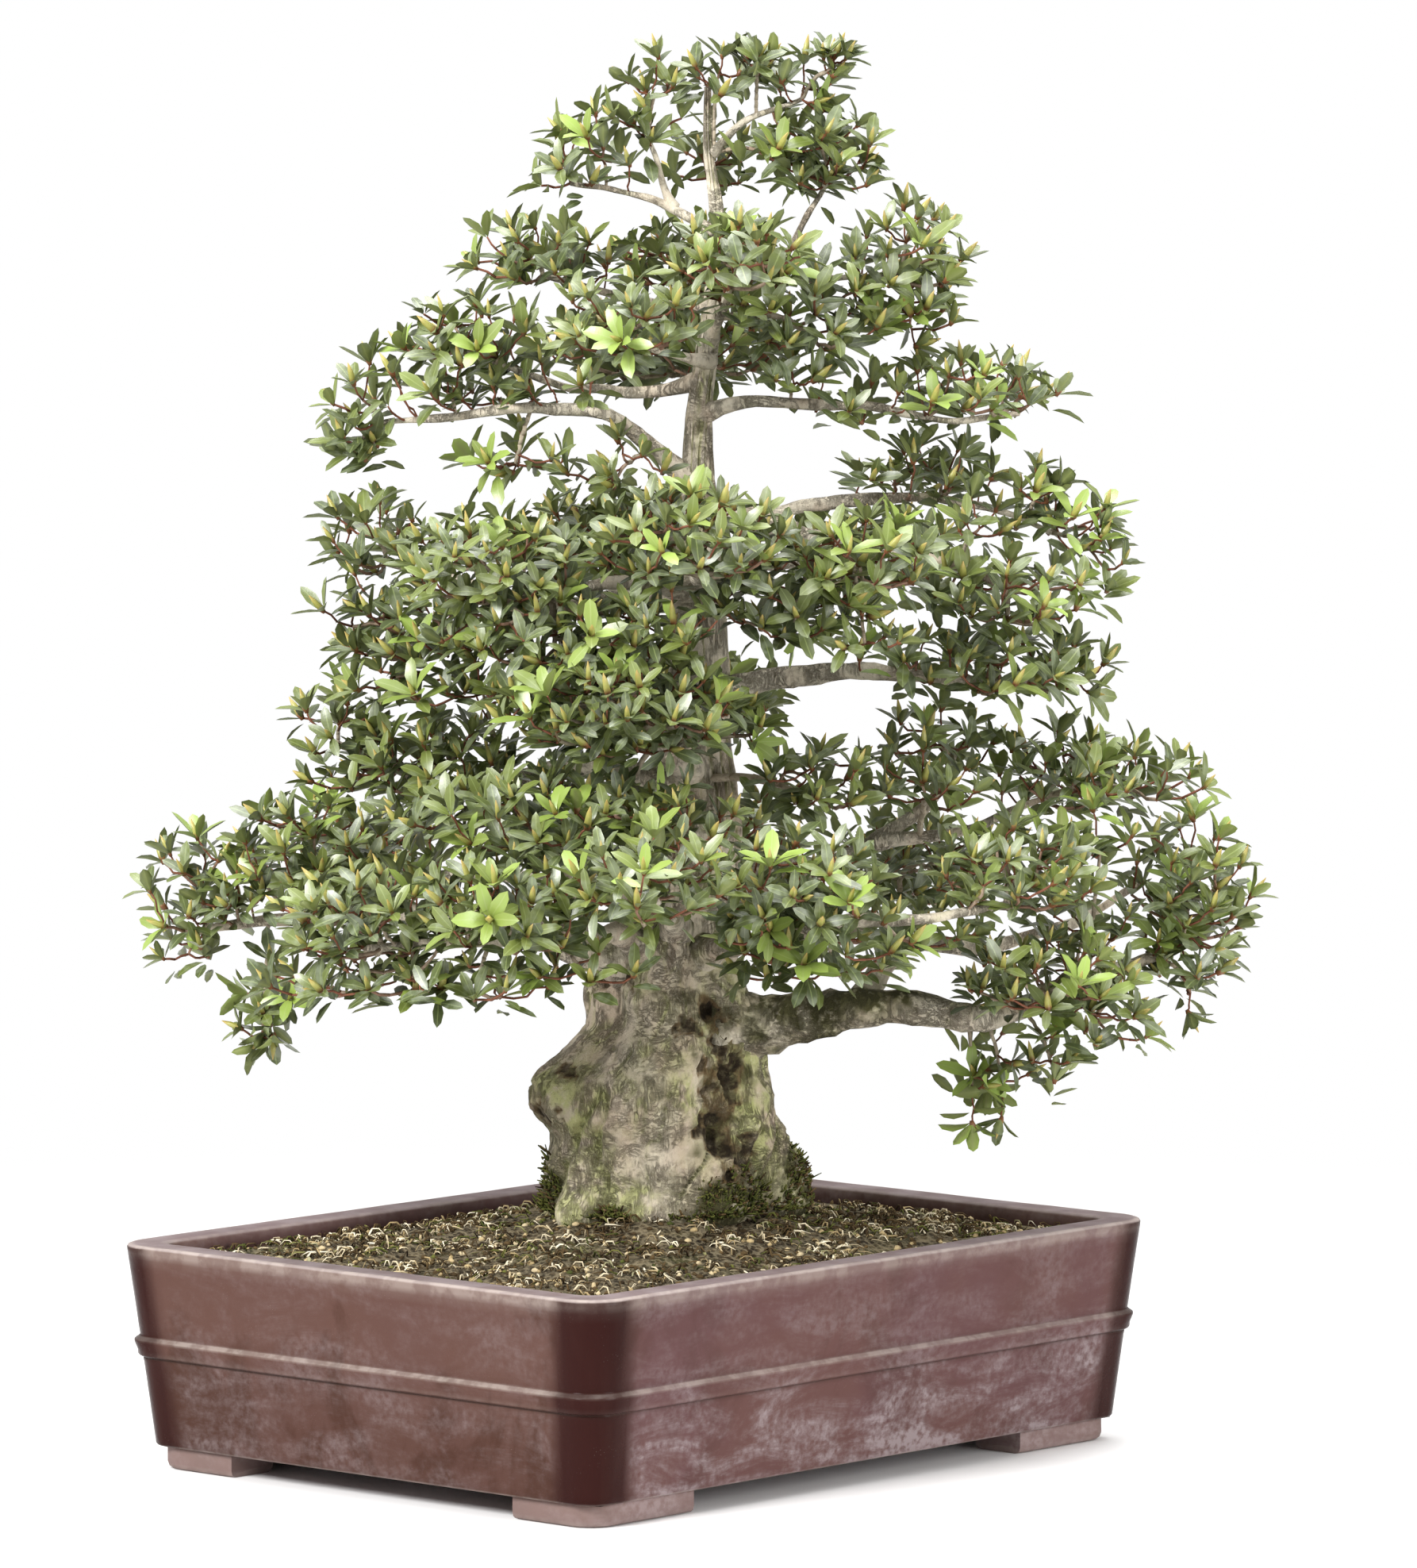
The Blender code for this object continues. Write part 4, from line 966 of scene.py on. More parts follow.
@dataclass
class Pot:
    """The rectangular clay pot: walls, rim, belt, floor with drain holes and four feet."""

    length: float = 480 * MM
    width: float = 370 * MM
    height: float = 128 * MM
    corner: float = 24 * MM
    lean: float = 14 * MM
    rim: float = 21 * MM
    foot: float = 13 * MM
    floor: float = 25 * MM
    belt_low: float = 64 * MM
    belt_high: float = 76 * MM
    relief: float = 3 * MM
    foot_round: float = 2.2 * MM
    foot_inset: float = 18 * MM
    foot_breadth: float = 34 * MM
    foot_share: float = 0.21
    drain: float = 14 * MM
    drain_spacing: float = 240 * MM
    drain_sides: int = 96
    notches_long: tuple = (0.31, 0.825)
    notches_short: tuple = (0.57,)

    def inset(self, z: Any) -> Any:
        """How far the leaning wall stands in from the rim at height z."""
        return self.lean * (self.height - z) / (self.height - self.foot)

    def outline(self, inset: np.ndarray, sides: np.ndarray, steps: int = 17) -> np.ndarray:
        """Rounded rectangles, anticlockwise.

        Formula: quarter circles of the corner's radius joined by straight sides, where
        the radius shrinks by 0.6 of the inset.

        Args:
            inset: Distance in from the rim's outline, one for each ring.
            sides: Places along each straight side, from 0 to 1, ends left out.
            steps: Points on each corner.

        Returns:
            X and Y, rings by points by 2.
        """
        radius = np.maximum(self.corner - 0.6 * inset, 6 * MM)[:, None]
        half_x = self.length / 2 - inset[:, None] - radius
        half_y = self.width / 2 - inset[:, None] - radius
        turn = np.radians(np.linspace(0, 90, steps))
        runs = []
        signs = ((1, 1), (-1, 1), (-1, -1), (1, -1))
        for index, (sx, sy) in enumerate(signs):
            angle = turn + index * math.pi / 2
            arc_x = sx * half_x + radius * np.cos(angle)
            arc_y = sy * half_y + radius * np.sin(angle)
            next_x, next_y = signs[(index + 1) % 4]
            after = (index + 1) * math.pi / 2
            end_x = next_x * half_x + radius * math.cos(after)
            end_y = next_y * half_y + radius * math.sin(after)
            straight_x = arc_x[:, -1:] + (end_x - arc_x[:, -1:]) * sides
            straight_y = arc_y[:, -1:] + (end_y - arc_y[:, -1:]) * sides
            runs.append(np.stack((arc_x, arc_y), -1))
            runs.append(np.stack((straight_x, straight_y), -1))
        return np.concatenate(runs, 1)

    def profile(self) -> np.ndarray:
        """Height, inset, wear and painted shade of each ring, from under the floor to the inner floor; the
        wear column also paints a highlight on the belt's upper chamfer.
        """
        rows = [
            (self.foot, self.lean + self.foot_round, 0.2, 0),
            (self.foot + 0.5 * MM, self.lean + 0.6 * MM, 0.5, 0),
        ]
        rows += [(z * MM, self.inset(z * MM), 0, 0) for z in (14.6, 18, 26, 34, 42, 50, 57, 61)]
        low, high, out = self.belt_low, self.belt_high, self.relief
        wall_low, wall_high = self.inset(low), self.inset(high)
        # Belt rows: the groove column paints shade under the belt, and the wear column paints a highlight
        # on its upper chamfer.
        rows += [
            (low - 1.2 * MM, wall_low, 0, 0.2),
            (low - 0.3 * MM, wall_low + 0.2 * MM, 0, 0.8),
            (low + 0.1 * MM, wall_low, 0, 0.8),
            (low + 0.6 * MM, wall_low - 0.62 * out, 0, 0.1),
            (low + 1.6 * MM, wall_low - 0.84 * out, 0.1, 0),
            (low + 4.0 * MM, wall_low - 0.9 * out, 0, 0),
            (high - 3.6 * MM, wall_high - 0.92 * out, 0, 0),
            (high - 2.5 * MM, wall_high - 0.9 * out, 0.3, 0),
            (high - 2.0 * MM, wall_high - 0.82 * out, 0.7, 0),
            (high - 0.5 * MM, wall_high - 0.2 * out, 0.7, 0),
            (high + 0.1 * MM, wall_high - 0.03 * out, 0.1, 0.15),
            (high + 0.8 * MM, wall_high, 0, 0.05),
        ]
        rows += [(z * MM, self.inset(z * MM), 0, 0) for z in (79, 85, 92, 100, 108, 115)]
        rows += [(z * MM, self.inset(z * MM), wear, 0) for z, wear in ((120, 0.1), (123.5, 0.5))]
        top = self.height
        rows += [
            (top - 1.8 * MM, 0.3 * MM, 0.5, 0),
            (top - 0.6 * MM, 0.9 * MM, 1, 0),
            (top, 2.4 * MM, 1, 0),
            (top, 4.2 * MM, 0.1, 0),
            (top, self.rim / 2, 0, 0),
            (top, self.rim - 5 * MM, 0, 0),
            (top, self.rim - 2.2 * MM, 0.3, 0),
            (top - 0.7 * MM, self.rim - 0.8 * MM, 0.5, 0),
            (top - 2.2 * MM, self.rim, 0.2, 0),
        ]
        # Inside the pot the groove column paints shade on the inner wall and floor.
        rows += [(z * MM, self.rim + self.inset(z * MM), 0, 0.4) for z in (120, 112, 100)]
        rows.append((self.floor, self.rim + self.inset(self.floor), 0, 0.5))
        return np.array(rows)

    def side_places(self) -> np.ndarray:
        """Places along a straight side, closer round each notch."""
        even = np.linspace(0, 1, 62)[1:-1]
        close = np.array([-1.4, -0.9, -0.55, 0, 0.55, 0.9, 1.4]) / 400
        shares = np.array(self.notches_long + self.notches_short)
        marks = np.concatenate((shares, 1 - shares))
        return np.unique(np.round(np.concatenate((even, (marks[:, None] + close).ravel())), 5))

    def walls(self, skin: Skin) -> None:
        """The shell from under the floor over the rim to the inner floor.

        Formula: the profile of height and inset is carried round the rounded outline,
        with notches sunk into the belt and a slightly uneven, chipped rim.
        """
        profile = self.profile()
        flat = self.outline(profile[:, 1], self.side_places())
        rings, count, _ = flat.shape
        z = np.broadcast_to(profile[:, :1], (rings, count))
        points = np.concatenate((flat, z[..., None]), -1)
        outer = profile[:, :1] > self.foot
        on_belt = step(z, self.belt_low, self.belt_low + 2 * MM)
        on_belt = on_belt * (1 - step(z, self.belt_high - 1 * MM, self.belt_high))
        x, y = points[..., 0], points[..., 1]
        notch = np.zeros_like(z)
        half = 0.8 * MM
        walls = (
            (self.notches_long, x, self.length, y, self.width),
            (self.notches_short, y, self.width, x, self.length),
        )
        for shares, run, span, across, depth in walls:
            for share, sign in itertools.product(shares, (-1, 1)):
                near = np.abs(run - sign * (share - 0.5) * span)
                face = np.abs(across - sign * depth / 2) < self.lean
                notch = np.maximum(notch, (1 - step(near, 0.5 * half, 1.6 * half)) * face)
        notch = notch * on_belt * outer
        inward = -np.sign(points) * (1, 1, 0)
        along_x = np.abs(np.abs(x) / self.length - 0.5) < np.abs(np.abs(y) / self.width - 0.5)
        normal = np.where(along_x[..., None], inward * (1, 0, 0), inward * (0, 1, 0))
        points = points + normal * (notch * 1.8 * MM)[..., None]
        wobble = noise(points, 60 * MM, 5, 2) * 0.5 * MM
        chips = np.clip(noise(points, 5 * MM, 9, 2) - 0.75, 0, 1)
        rim_share = step(z, self.height - 4 * MM, self.height - 1 * MM)
        points = points + normal * (wobble * outer + chips * rim_share * 1.1 * MM)[..., None] * 0.6
        points[..., 2] -= (np.abs(wobble) * 0.4 + chips * 0.4 * MM) * rim_share
        corner_x = np.abs(points[..., 0]) - (self.length / 2 - self.inset(z) - 30 * MM)
        corner_y = np.abs(points[..., 1]) - (self.width / 2 - self.inset(z) - 30 * MM)
        corner = step(np.minimum(corner_x, corner_y), -6 * MM, 8 * MM) * outer * (z < self.height - 1 * MM)
        # Wear from the profile, with a painted highlight on the belt's upper chamfer.
        wear = np.broadcast_to(profile[:, 2:3], z.shape)
        # Painted shade in the grooves and recesses, and in the notches.
        groove = np.maximum(np.broadcast_to(profile[:, 3:4], z.shape), notch)
        skin.add(points, [grid_faces(rings, count, wrap=True)], corner=corner, wear=wear, groove=groove)

    def plate(self, skin: Skin, z: float, inset: float, up: bool) -> None:
        """A floor face with two drain holes.

        Formula: for each half, points run on rays from the hole's middle, from the
        hole's edge to the half's border.

        Args:
            skin: Where the face is gathered.
            z: Height of the face.
            inset: How far its outline stands in.
            up: True where the face looks up.
        """
        turn = circle(self.drain_sides)
        ray = np.stack((np.cos(turn), np.sin(turn)), -1)
        reach_x = self.length / 2 - inset
        reach_y = self.width / 2 - inset
        middle = self.drain_spacing / 2
        room_x = np.where(ray[:, 0] > 0, reach_x - middle, middle)
        far = np.minimum(
            room_x / np.maximum(np.abs(ray[:, 0]), 1e-9), reach_y / np.maximum(np.abs(ray[:, 1]), 1e-9)
        )
        share = np.linspace(0, 1, 8)[:, None]
        reach = self.drain + (far - self.drain) * share
        for side in Side:
            x = side.value * (middle + ray[:, 0] * reach)
            points = np.stack((x, ray[:, 1] * reach, np.full_like(x, z)), -1)
            faces = grid_faces(len(share), self.drain_sides, wrap=True)
            if up != (side is Side.LEFT):
                faces = faces[:, ::-1]
            # A little painted shade on the floor faces.
            skin.add(points, [faces], corner=0, wear=0, groove=0.1)

    def drains(self, skin: Skin) -> None:
        """The walls of the drain holes, circles carried from the floor's top to its underside."""
        turn = circle(self.drain_sides)
        for side in Side:
            x = side.value * (self.drain_spacing / 2 + self.drain * np.cos(turn))
            y = self.drain * np.sin(turn)
            rows = [np.stack((x, y, np.full_like(x, z)), -1) for z in (self.foot, self.floor)]
            faces = grid_faces(2, self.drain_sides, wrap=True)
            if side is Side.RIGHT:
                faces = faces[:, ::-1]
            # Painted shade in the drain walls.
            skin.add(np.stack(rows), [faces], corner=0, wear=0.3, groove=0.2)

    def feet(self, skin: Skin) -> None:
        """Four angled feet.

        Formula: an L-shaped route with a rounded elbow carries a cross-section between
        an outer and an inner outline, with its lower edges rounded off.
        """
        end_x = self.length * (0.5 - self.foot_share)
        end_y = self.width * (0.5 - self.foot_share)
        arc = np.radians(np.linspace(0, 90, 13))
        bounds = []
        inner_inset = self.foot_inset + self.foot_breadth
        for inset, radius in ((self.foot_inset, 16.8 * MM), (inner_inset, 8 * MM)):
            x = self.length / 2 - inset - radius
            y = self.width / 2 - inset - radius
            first = np.stack((np.full(7, x + radius), np.linspace(end_y, y, 8)[:-1]), -1)
            bend = np.stack((x + radius * np.cos(arc), y + radius * np.sin(arc)), -1)
            last = np.stack((np.linspace(x, end_x, 8)[1:], np.full(7, y + radius)), -1)
            bounds.append(np.concatenate((first, bend, last)))
        outer, inner = bounds
        top = self.foot / MM + 1
        section = np.array((
            (0.0, top), (0.0, 4), (0.02, 1.6), (0.06, 0.5), (0.12, 0), (0.5, 0),
            (0.88, 0), (0.94, 0.5), (0.98, 1.6), (1.0, 4), (1.0, top),
        )) * (1, MM)
        across, z = section[:, 0][None, :, None], section[:, 1]
        flat = outer[:, None] + (inner - outer)[:, None] * across
        stations = len(outer)
        points = np.concatenate((flat, np.broadcast_to(z, (stations, len(z)))[..., None]), -1)
        near, far = points[:1], points[-1:]
        near_middle, far_middle = near.mean(1, keepdims=True), far.mean(1, keepdims=True)
        body = np.concatenate((
            np.repeat(near_middle, len(z), 1),
            near * 0.97 + near_middle * 0.03,
            points[1:-1],
            far * 0.97 + far_middle * 0.03,
            np.repeat(far_middle, len(z), 1),
        ))
        body[1, :, 1] = body[0, 0, 1]
        body[-2, :, 0] = body[-1, 0, 0]
        body[2, :, 1] = np.maximum(body[2, :, 1], end_y + 1.2 * MM)
        wear = np.broadcast_to(0.5 * (section[:, 1] < 4 * MM), body.shape[:2])
        for sx, sy in ((1, 1), (-1, 1), (-1, -1), (1, -1)):
            faces = grid_faces(body.shape[0], body.shape[1], wrap=True)
            if sx * sy > 0:
                faces = faces[:, ::-1]
            skin.add(body * (sx, sy, 1), [faces], corner=0, wear=wear, groove=0)

    def make(self, frame: dict[str, Any], look: bpy.types.Material) -> bpy.types.Object:
        """Build and dress the pot with its feet."""
        skin = Skin()
        self.walls(skin)
        self.plate(skin, self.foot, self.lean + self.foot_round, up=False)
        self.plate(skin, self.floor, self.rim + self.inset(self.floor), up=True)
        self.drains(skin)
        self.feet(skin)
        pot = skin.piece("pot_clay", look, crease=42)
        feet = [name for name in frame["nodes"] if name.startswith("foot_")]
        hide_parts("pot", *feet)
        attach(pot, "root")
        return pot


@dataclass
class Trunk:
    """The old trunk: a lofted, lobed and hollowed column with rotted holes."""

    sides: int = 200
    levels: int = 260
    low: float = 108.0
    high: float = 776.0
    depth_share: float = 0.88

    def axis(self, z: np.ndarray) -> tuple[np.ndarray, np.ndarray, np.ndarray]:
        """Middle u, middle w and half-width of the trunk at heights z, smoothly joined."""
        rings = np.array(TRUNK_RINGS, float)
        return tuple(np.moveaxis(hermite(rings[:, 0], rings[:, 1:], z), -1, 0))

    def reach(self, angle: np.ndarray, z: np.ndarray, radius: np.ndarray) -> np.ndarray:
        """Distance from the trunk's middle to its bark.

        Formula: the half-width, narrowed front to back, plus root lobes that swell
        towards the ground, less smooth hollows, plus smooth knobs. Each of these is a
        bell round the trunk and half a sine wave up it.

        Args:
            angle: Degrees round the trunk from u towards the shown side.
            z: Height in millimetres.
            radius: Half-width in millimetres.

        Returns:
            Distance in millimetres.
        """
        depth = 1 - (1 - self.depth_share) * np.abs(np.sin(np.radians(angle)))
        reach = radius * depth

        def patch(middle: float, width: float, low: float, high: float) -> np.ndarray:
            inside = (z > low) & (z < high)
            band = np.where(inside, np.sin(math.pi * (z - low) / (high - low)), 0.0)
            return facing(angle, middle, width) * band

        spread = np.minimum(np.clip((190 - z) / 70, 0, None) ** 2, 1.0)
        spread = spread * np.clip(1 - (120 - z) / 40, 0, 1)
        for middle, lobe, width in ROOT_LOBES:
            reach = reach + spread * lobe * (facing(angle, middle, width) - 0.35)
        for middle, sunk, *place in HOLLOWS:
            reach = reach - sunk * patch(middle, *place)
        for middle, raised, *place in KNOBS:
            reach = reach + raised * patch(middle, *place)
        return reach

    @staticmethod
    def around(mid_u: Any, mid_w: Any, reach: Any, angle: np.ndarray, z: np.ndarray) -> np.ndarray:
        """Places in tree millimetres at a distance from the trunk's middle."""
        turn = np.radians(angle)
        return np.stack((mid_u + reach * np.cos(turn), mid_w - reach * np.sin(turn), z), -1)

    def surface(self) -> tuple[np.ndarray, dict[str, np.ndarray]]:
        """Points of the bark, levels by sides by 3 in metres, and the values of its finish.

        Formula: strands that spiral up the trunk raise and sink the bark, clefts run
        between them, furrows and knots roughen it, and holes and pits are sunk into it.
        """
        share = np.linspace(0, 1, self.levels)
        heights = self.low + (self.high - self.low) * (0.5 * share + 0.5 * share**2)
        angle, z = np.meshgrid(np.linspace(0, 360, self.sides, endpoint=False), heights)
        mid_u, mid_w, radius = self.axis(z)
        reach = self.reach(angle, z, radius)
        turn = np.radians(angle)
        place = self.around(mid_u, mid_w, reach, angle, z)
        u, w, _ = np.moveaxis(place, -1, 0)
        girth = np.clip(radius / 60, 0.12, 1)
        here = place * MM
        sway = noise(np.stack((0 * z, 0 * z, z), -1) * MM, 50 * MM, 20, 2) * 0.5
        spiral = turn + sway + 0.0035 * (z - 190)
        column = np.stack((46 * np.cos(spiral), 46 * np.sin(spiral), z * 0.2), -1) * MM
        strand = noise(column, 24 * MM, 21, 2)
        cleft = np.clip(1 - np.abs(strand) / 0.2, 0, 1) ** 1.5
        finer = noise(np.stack((u, w, z * 0.35), -1) * MM, 10 * MM, 22, 2)
        furrow = np.clip(1 - np.abs(finer) / 0.22, 0, 1)
        knots = noise(here, 17 * MM, 23, 3)
        above = step(z, 138, 165)
        fluting = (4.4 * strand - 5.0 * cleft * above) * girth
        rough = 1.7 * knots - 1.5 * furrow * step(z, 150, 180)
        fluting = fluting + rough * np.sqrt(girth) * (0.5 + 0.5 * girth)
        rot = np.zeros_like(z)
        front = mid_w - w > -0.25 * radius
        ragged = noise(here, 11 * MM, 24, 3)
        frayed = noise(here, 4.5 * MM, 25, 2)
        for at_u, at_z, half_u, half_z, deep in HOLES:
            off = np.sqrt(((u - at_u) / half_u) ** 2 + ((z - at_z) / half_z) ** 2)
            off = off + 0.8 * ragged + 0.45 * frayed
            inside = (1 - step(off, 0.5, 1.1)) * front
            lip = bell((off - 1.4) / 0.3) * front
            fluting = fluting - 0.4 * deep * inside + 0.6 * lip
            rot = np.maximum(rot, 0.8 * inside)
        seam = bell((angle - 48 - 6 * np.sin(z / 13)) / 12) * step(z, 150, 166) * (1 - step(z, 252, 280))
        pits = np.clip(0.25 - noise(here, 8.5 * MM, 27, 3), 0, 1) * seam
        fluting = fluting - 1.5 * seam - 6.0 * pits
        rot = np.maximum(rot, 0.36 * step(seam + 0.3 * ragged, 0.4, 0.75))
        rot = np.maximum(rot, step(pits, 0.12, 0.55))
        points = to_pot(self.around(mid_u, mid_w, reach + fluting, angle, z))
        patch = np.clip(noise(points, 24 * MM, 31, 3) + 0.2, 0, 1)
        beside = bell((angle - 50) / 32) * step(z, 150, 170) * (1 - step(z, 262, 290))
        low_left = bell((angle - 165) / 40) * (1 - step(z, 190, 250))
        edge = facing(angle, 0, 30) * (1 - step(z, 230, 300))
        damp = 1.3 * beside + 1.2 * low_left + edge + 0.9 * (1 - step(z, 150, 178))
        algae = np.clip(damp * (0.3 + 1.4 * patch), 0, 1)
        moss = 1.5 * beside * np.clip(ragged - 0.05, 0, 1)
        for middle, width, height in TUFTS:
            thick = 1.25 - step(z, 146, 146 + height) + 0.5 * ragged
            moss = np.maximum(moss, facing(angle, middle, width) * thick * (z < 150 + height))
        upper = step(z, 300, 340) * np.clip(ragged * 0.9, 0, 1) * 0.6
        moss = np.clip(np.maximum(moss, upper), 0, 1)
        # How far the bark is sunk: the finish puts algae in it and paints shade in its deepest parts.
        groove = np.clip(0.42 - 0.25 * strand + 0.55 * cleft * above + 0.25 * furrow, 0, 1.2)
        limb = step(z, 290, 360)
        return points, {"rot": rot, "algae": algae, "moss": moss, "groove": groove, "limb": limb}

    def make(self, look: bpy.types.Material) -> bpy.types.Object:
        """Build and dress the trunk."""
        points, values = self.surface()
        skin = Skin()
        poles = np.stack((points[0].mean(0), points[-1].mean(0)))
        full = np.concatenate((points.reshape(-1, 3), poles))
        ends = {name: np.append(value, (0.0, 0.0)) for name, value in values.items()}
        quads, caps = shell_faces(self.levels, self.sides)
        skin.add(full, [quads[:, ::-1], caps[:, (0, 2, 1)]], **ends)
        trunk = skin.piece("trunk_bark", look)
        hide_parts("trunk")
        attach(trunk, "root")
        return trunk


@dataclass
class Limbs:
    """The limbs: bent tapering tubes with uneven bark, swollen where they leave the wood."""

    stations: int = 52
    sides: int = 16
    thin: float = 5
    thin_sides: int = 10
    stops: int = 28

    @staticmethod
    def radii(root: float, tip: float, count: int) -> np.ndarray:
        """Radius in millimetres at each station, thinning quickly at first."""
        share = np.linspace(0, 1, count) ** 0.8
        return root + (tip - root) * share

    def centre(self, route: Any, count: int) -> np.ndarray:
        """Middle line of a limb in tree millimetres, wandering a little between its bends."""
        path = smooth_path(route, count)
        sway = np.stack([noise(path * MM + 3.1 * axis, 34 * MM, 41 + axis, 2) for axis in range(3)], -1)
        ends = np.sin(np.linspace(0, math.pi, count))[:, None] ** 0.5
        return path + sway * ends * 2.2

    def make(self, look: bpy.types.Material) -> bpy.types.Object:
        """Build and dress the limbs as one piece."""
        skin = Skin()
        for route, root, tip in LIMBS + ROOTS:
            stations = self.stations if root > self.thin else self.stations // 2
            sides = self.sides if root > self.thin else self.thin_sides
            middle = self.centre(route, stations)
            path = to_pot(middle)
            # Painted shade, on top of real moss on the upper sides of thick limbs: the low limb near the
            # trunk and the root by the soil are darkened through the moss and algae values.
            shade = bell((middle[:, 0] - 88) / 52) * bell((middle[:, 2] - 252) / 26)
            shade = np.maximum(shade, 0.8 * (middle[:, 2] < 160))[:, None]
            radii = self.radii(root, tip, stations) * 0.92 * MM
            run = np.linalg.norm(np.diff(path, axis=0), axis=1)
            out = np.append(0.0, np.cumsum(run))
            radii = radii * (1 + 0.35 * bell(out / (2.2 * root * MM)))
            radii = radii * (1 + 0.10 * noise(path, 12 * MM, 44, 2))
            points, faces = tube_shell(path[None], radii[None], sides)
            body = points[0, :-2].reshape(stations, sides, 3)
            away = unit(body - path[:, None])
            bark = noise(body, 8 * MM, 45, 3) * 0.13 + noise(body, 22 * MM, 46, 2) * 0.15
            body = body + away * (bark * radii[:, None])[..., None]
            points = np.concatenate((body.reshape(-1, 3), points[0, -2:]))
            top = np.clip(away[..., 2] + 0.5, 0, 1) * np.clip(noise(body, 16 * MM, 47, 3) + 0.3, 0, 1)
            thick = step(radii / MM, 3.5, 12)[:, None]
            dark = shade * np.clip(0.75 + 0.9 * noise(body, 10 * MM, 48, 3), 0, 1)
            moss = np.append(np.clip(top * thick * 1.6 + dark, 0, 1), (0.0, 0.0))
            # How far the limb's bark is sunk, which the finish uses for algae and painted shade.
            groove = np.append(np.clip(0.42 - 1.6 * bark, 0, 1), (0.5, 0.5))
            skin.add(points, faces, rot=0, algae=moss * 0.5, moss=moss, groove=groove, limb=1)
        limbs = skin.piece("limb_bark", look)
        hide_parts("trunk")
        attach(limbs, "root")
        return limbs

    def samples(self) -> np.ndarray:
        """Places along all limbs in tree millimetres."""
        return np.concatenate([self.centre(route, self.stops) for route, _, _ in LIMBS])


